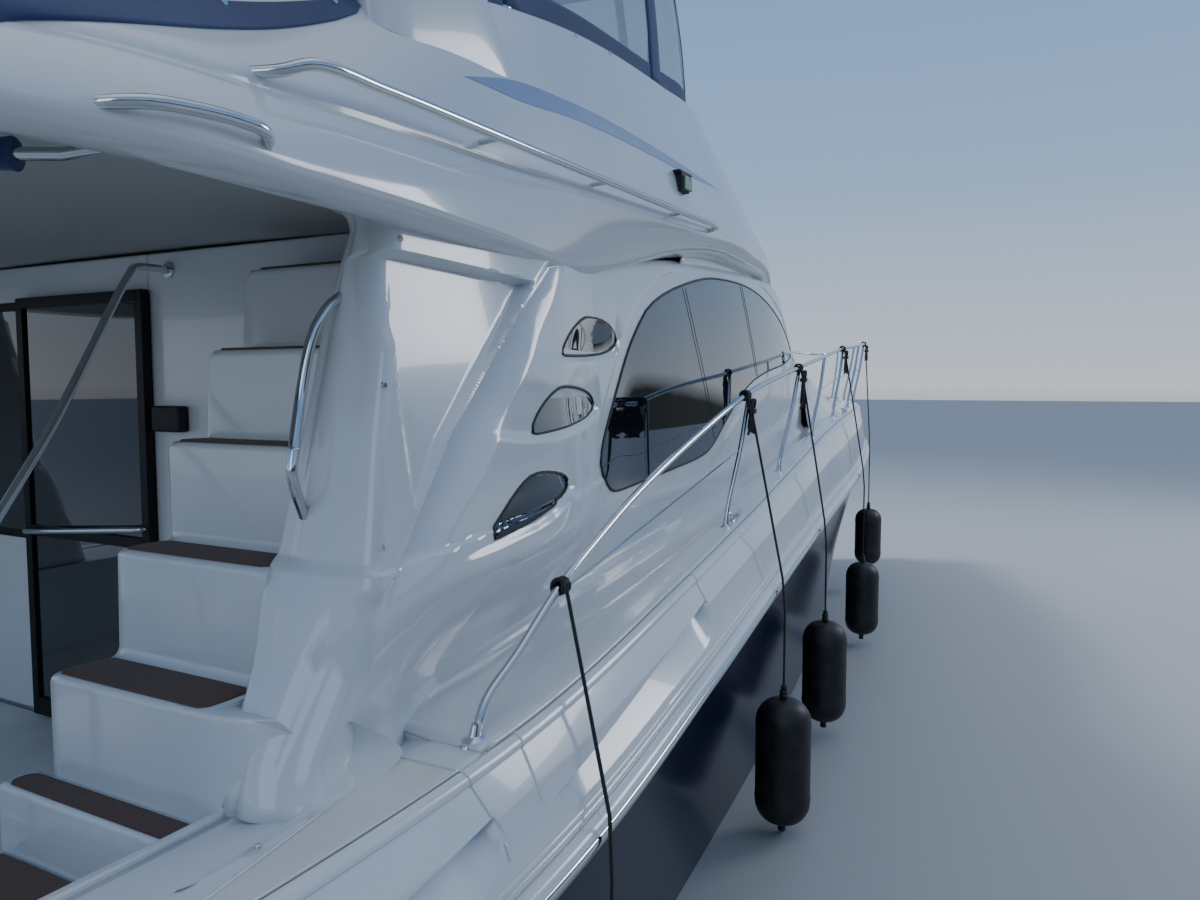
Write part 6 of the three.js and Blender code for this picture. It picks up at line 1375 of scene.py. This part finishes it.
# ---- Cockpit sole, bench and hatch
# Moulded cockpit liner: non-skid sole with a flush lid over the engines, low sides, and the bench base
# across the stern beside the gate.
LID = (-5.744, -4.956, 0.454)
boxes("cockpit_sole", [
    (-6.33, LID[0] - 0.006, -1.64, 1.64, 0.94, 0.98), (LID[1] + 0.006, -3.602, -1.64, 1.64, 0.94, 0.98),
    (LID[0] - 0.02, LID[1] + 0.02, LID[2] + 0.006, 1.64, 0.94, 0.98),
    (LID[0] - 0.02, LID[1] + 0.02, -1.64, -LID[2] - 0.006, 0.94, 0.98)],
    non_skid, bevel=0.003, nodes="cockpit_tub")
boxes("cockpit_sides", [
    (-6.33, -3.602, 1.612, 1.64, 0.97, 1.438), (-6.33, -3.602, -1.64, -1.612, 0.97, 1.438),
    (-6.33, -6.302, -1.64, 0.85, 0.97, 1.438), (-6.33, -6.302, 1.45, 1.64, 0.97, 1.438),
    (-6.33, -6.302, 0.84, 1.46, 0.97, 1.01), (-3.632, -3.602, -1.64, -0.23, 0.97, 1.3)],
    gel_white, bevel=0.008, nodes="cockpit_tub")
boxes("bench_base", [(-6.3, -5.82, -1.5, 0.74, 0.975, 1.3), (-5.83, -5.812, -1.3, -0.42, 1.04, 1.25),
                     (-5.83, -5.812, -0.34, 0.54, 1.04, 1.25)],
      gel_white, bevel=0.014, nodes="cockpit_tub")


def ring_latch(x, y, z):
    """A flush lift ring: a dished plate and the ring that lies in it."""
    turn = np.linspace(0, 2 * math.pi, 33)[:-1]
    ring = xyz(x + 0.02 * np.cos(turn), y + 0.02 * np.sin(turn), z + 0.002)
    return [flange((x, y, z - 0.001), (0, 0, 1), 0.032, 0.003), swept(ring, 0.003, 8, closed=True)]


def lid(name, x0, x1, half, top, thick):
    """A lid with its gel-coat rim, a non-skid field, two latches, and the barrel hinge on its forward edge."""
    boxes(f"{name}_plate", [(x0, x1, -half, half, top - thick, top - 0.0015)], gel_white, name, name, 0.004)
    boxes(f"{name}_field", [(x0 + 0.04, x1 - 0.06, -half + 0.04, half - 0.04, top - 0.004, top + 0.0005)], non_skid,
          name, name, 0.001)
    hinge_x, hinge_z = x1 + 0.018, top + 0.0093
    metal = [swept([(hinge_x, y, hinge_z), (hinge_x, y + 0.07, hinge_z)], 0.0085, 16)
             for y in -half + 0.054 + np.arange(0, 2 * half - 0.17, 0.074)]
    for y in (-half * 0.45, half * 0.45):
        metal += ring_latch(x0 + 0.075, y, top)
    moulded(f"{name}_hinge", metal, stainless, name, name)
    leaf = [[(x1 - 0.05, y, top + 0.0045), (hinge_x, y, top + 0.0045)] for y in (-half + 0.054, half - 0.054)]
    moulded(f"{name}_hinge_leaf", [leaf], stainless, name, name, wall=0.003)


lid("cockpit_hatch", *LID, 0.98, 0.03)
lid("foredeck_hatch", 5.426, 5.974, 0.244, 2.245, 0.028)
boxes("foredeck_hatch_coaming", [
    (5.39, 5.42, -0.28, 0.28, 2.16, 2.244), (5.98, 6.01, -0.28, 0.28, 2.16, 2.244),
    (5.39, 6.01, 0.25, 0.28, 2.16, 2.244), (5.39, 6.01, -0.28, -0.25, 2.16, 2.244)], gel_white, bevel=0.006)

# The transom's rail across the stern, either side of the gate.
boxes("transom_rail", [(-6.4, -6.325, -1.45, 0.85, 0.985, 1.446), (-6.394, -6.325, -1.62, -1.43, 0.985, 1.44),
                       (-6.394, -6.325, 1.448, 1.62, 0.985, 1.44), (-6.4, -6.33, 0.85, 1.45, 0.985, 1.008)],
      gel_white, bevel=0.016)

# Transom gate: a moulded leaf on two straps and a pin, with a slam latch.
boxes("transom_gate_leaf", [(-6.396, -6.366, 0.858, 1.411, 1.018, 1.43), (-6.3665, -6.3645, 0.91, 1.36, 1.07, 1.38)],
      gel_white, body="transom_gate", bevel=0.009, nodes="transom_gate")
pin = [swept([(-6.384, 1.426, z), (-6.384, 1.426, z + 0.13)], 0.0105, 16) for z in (1.03, 1.163, 1.296)]
moulded("transom_gate_hinge", pin + [flange((-6.3655, 0.92, 1.26), (1, 0, 0), 0.022, 0.004)], stainless,
        body="transom_gate", nodes="transom_gate")
boxes("transom_gate_straps", [(-6.388, -6.38, 1.37, 1.428, z - 0.025, z + 0.025) for z in (1.09, 1.34)], stainless,
      body="transom_gate", bevel=0.002, nodes="transom_gate")

# Swim platform: a moulded slab with a non-skid field on three brackets.
plan = np.array([(-6.402, -1.85), (-7.33, -1.85), (-7.4, -1.82), (-7.44, -1.6), (-7.45, -1.4)])
plan = np.concatenate([plan, plan[::-1] * [1, -1]])


def slab(outline, low, high, edge=0.012):
    """A flat slab with rounded rims: the outline drawn in by a quarter circle above and below, closed to its middle."""
    outline = np.vstack([outline, outline[:1]])
    middle = outline[:-1].mean(0)
    reach = np.linalg.norm(outline - middle, axis=1)[:, None]
    sizes, heights = [0 * reach], [low]
    for a in np.linspace(-math.pi / 2, math.pi / 2, 9):
        sizes.append(1 - edge * (1 - math.cos(a)) / reach)
        heights.append((low + edge if a < 0 else high - edge) + edge * math.sin(a))
    rings = middle + (outline - middle) * (sizes + [0 * reach])
    return xyz(rings[..., 0], rings[..., 1], np.array(heights + [high])[:, None])


moulded("swim_platform_slab", [slab(plan, 0.37, 0.43, 0.02)], gel_white, crease=50,
        nodes="swim_platform")
inset = (plan - plan.mean(0)) * [0.86, 0.93] + plan.mean(0)
moulded("swim_platform_field", [slab(inset, 0.425, 0.4315, 0.0015)], non_skid, crease=50, nodes="swim_platform")
side_view = np.array([(-6.402, 0.375), (-6.402, 0.02), (-6.46, 0.02), (-6.95, 0.375)])
ring = np.insert(side_view[[0, 1, 2, 3, 0]], 1, 0, axis=1)
face = np.stack([ring, np.broadcast_to(ring[:-1].mean(0), ring.shape)])
brackets = []
for y in (-1.15, 0.0, 1.15):
    two = [[0, y + d, 0] for d in (-0.02, 0.02)]
    brackets += [np.stack([ring + at for at in two])] + [face + at for at in two]
moulded("swim_platform_brackets", brackets, stainless, crease=30, nodes="swim_platform")

# ---- Helm station
# The console on the upper deck: a moulded pod with a black panel of instruments, throttles, and a
# stainless wheel on a raked boss. Blank gauges, as they show no writing at this scale.
side_view = np.array([(-1.25, 3.241), (-0.745, 3.241), (-0.742, 3.97), (-0.76, 4.005), (-0.8, 4.018), (-0.88, 4.018),
                      (-0.93, 4.012), (-1.19, 3.873), (-1.235, 3.83), (-1.248, 3.79), (-1.25, 3.241)])
middle = np.array([-1.0, 3.6])
body = []
for y, size in ((-0.78, 0.0), (-0.779, 0.975), (-0.765, 0.995), (-0.74, 1.0), (0.74, 1.0), (0.765, 0.995),
                (0.779, 0.975), (0.78, 0.0)):
    body.append(np.insert(middle + (side_view - middle) * size, 1, y, axis=1))
moulded("helm_pod", [np.stack(body)], gel_white, crease=32, nodes="helm_console")


def on_dash(down, y, out=(0, 0, 0)):
    """A point of the sloping dash: down runs 0 at its top edge to 1 at its lower edge."""
    return np.array([-0.93 - 0.26 * down, y, 4.012 - 0.139 * down]) + out


panel_black = patterned(surface("textured_black_panel", "#17191b", 0.5), "TexNoise", {"Scale": 300.0, "Detail": 2.0},
                        bump=(0.3, 0.001))
panel_grid = [[on_dash(down, y, (-0.001, 0, 0.002)) for y in (-0.66, 0.66)] for down in (0.08, 0.94)]
moulded("helm_panel", [panel_grid], panel_black, wall=-0.003, nodes="helm_console")
gauges, rims = [], []
for y in (-0.58, -0.44, -0.3, -0.16, -0.02):
    at = on_dash(0.3, y, (-0.001, 0, 0.0045))
    rims.append(flange(at, (-0.47, 0, 0.88), 0.05, 0.006, 28))
    gauges.append(flange(at + [-0.0015, 0, 0.0045], (-0.47, 0, 0.88), 0.043, 0.0025, 28))
moulded("gauge_bezels", rims, stainless, nodes="helm_console")
moulded("gauge_dials", gauges, tinted, nodes="helm_console")
lever = [swept([on_dash(0.6, y), on_dash(0.6, y, (0, 0, 0.075))], (0.007, 0.006), 12) for y in (0.2, 0.26)]
lever += [turned_piece([(0, 0), (0.012, 0.002), (0.017, 0.014), (0.012, 0.027), (0, 0.03)],
                       on_dash(0.6, y, (0, 0, 0.07)), 20) for y in (0.2, 0.26)]
moulded("throttle_levers", lever, stainless, nodes="helm_console")
TILT = math.radians(25)
WHEEL_AT = np.array([-1.33, -0.33, 3.87])
wheel_axis = np.array([math.cos(TILT), 0, -math.sin(TILT)])
wheel_up = np.array([math.sin(TILT), 0, math.cos(TILT)])
wheel_side = np.array([0, 1.0, 0])
moulded("helm_wheel_boss", [swept([WHEEL_AT + wheel_axis * d for d in (0.047, 0.06, 0.2)], (0.034, 0.04, 0.04), 24)],
        panel_black, nodes="helm_console")
turn = np.linspace(0, 2 * math.pi, 73)[:-1, None]
rim_path = WHEEL_AT + 0.19 * (np.cos(turn) * wheel_side + np.sin(turn) * wheel_up)
spokes = [swept(rim_path, 0.0135, 16, closed=True)]
for k in range(3):
    a = k * 2 * math.pi / 3
    ray = math.cos(a) * wheel_up + math.sin(a) * wheel_side
    spoke = [WHEEL_AT + wheel_axis * 0.008 + ray * r for r in (0.02, 0.09, 0.18)]
    spokes.append(swept(spoke, (0.01, 0.008, 0.007), 12))
hub = [WHEEL_AT + wheel_axis * d for d in (-0.014, -0.008, 0.02, 0.045)]
spokes.append(swept(hub, (0.022, 0.032, 0.033, 0.03), 28))
moulded("helm_wheel_steel", spokes, stainless, body="helm_wheel", nodes="helm_wheel")

# ---- Windscreen and ground tackle
# Tinted windscreen panes in the house front, the windlass, and a galvanised plough anchor on the
# pulpit's roller.
screens, seals = [], []
pane_x = np.linspace(1.14, 2.26, 30)
edge_y, edge_z = (np.interp(pane_x, last[:, 0], last[:, k])[:, None] for k in (1, 2))
for y0, y1 in ((-0.9, -0.33), (-0.3, 0.3), (0.33, 0.9)):
    pane_y = np.clip(np.linspace(y0, y1, 24), -edge_y + 0.05, edge_y - 0.05)
    sheet = rows_at(pane_x, pane_y, edge_z + 0.03 * (1 - (pane_y / edge_y) ** 2) + 0.004)
    screens.append(sheet)
    seals.append(swept(rim_of(sheet), 0.009, 8, closed=True))
moulded("windscreen_panes", screens, tinted, wall=0.003, nodes="windscreen")
moulded("windscreen_seals", seals, seal_rubber, nodes="windscreen")
galvanised = patterned(surface("galvanised_steel", "#8d9295", 0.5, Metallic=0.8),
                       "TexVoronoi", {"Scale": 60.0}, ("#7f8588", "#9ea3a5"))
pulpit_plan = np.array([(6.66, 0.33), (7.15, 0.2), (7.4, 0.152), (7.425, 0.12), (7.43, 0.09)])
pulpit_plan = np.concatenate([pulpit_plan, pulpit_plan[::-1] * [1, -1]])
moulded("pulpit_slab", [slab(pulpit_plan, 2.216, 2.299, 0.02)], gel_white, crease=50,
        nodes="pulpit")
moulded("pulpit_roller", [swept([(7.33, y, 2.262) for y in (-0.06, -0.05, 0.0, 0.05, 0.06)],
                                (0.034, 0.034, 0.022, 0.034, 0.034), 24)], panel_black, nodes="pulpit")
DRUM = ((0, 0), (0.118, 0), (0.12, 0.01), (0.115, 0.035), (0.075, 0.045), (0.072, 0.06), (0.05, 0.075), (0.046, 0.1),
        (0.055, 0.118), (0.074, 0.126), (0.075, 0.138), (0.06, 0.147), (0, 0.149))
moulded("windlass_drum", [turned_piece(DRUM, (6.25, 0, 2.233), 56)], stainless, nodes="windlass")

# ---- Running gear and engines
# Bronze propellers on their shafts, struts and spade rudders under the hull, and the plain engine blocks
# inside it. None of them shows with the boat afloat, so they keep their modelled form.
bronze = patterned(surface("cast_bronze", "#8a6a3a", 0.36, Metallic=1.0), "TexNoise", {"Scale": 12.0, "Detail": 6.0},
                   ("#6d5a3c", "#a07c45"), (0.35, 0.7), {"Roughness": (0.28, 0.5)})
enamel = patterned(surface("grey_engine_enamel", "#7c8286", 0.35), "TexNoise", {"Scale": 5.0, "Detail": 4.0},
                   ("#71777b", "#868c90"))
KEPT = {"propeller": bronze, "strut": bronze, "rudder": bronze, "engine": enamel, "anchor": galvanised,
        "cabin_tub": gel_white}
for node in [o for o in bpy.data.objects if o.type == "MESH"]:
    for start, finish in KEPT.items():
        if node.name == start or node.name in (f"{start}_port", f"{start}_starboard"):
            node.data.materials.clear()
            node.data.materials.append(finish)
            node.data.set_sharp_from_angle(angle=math.radians(32))
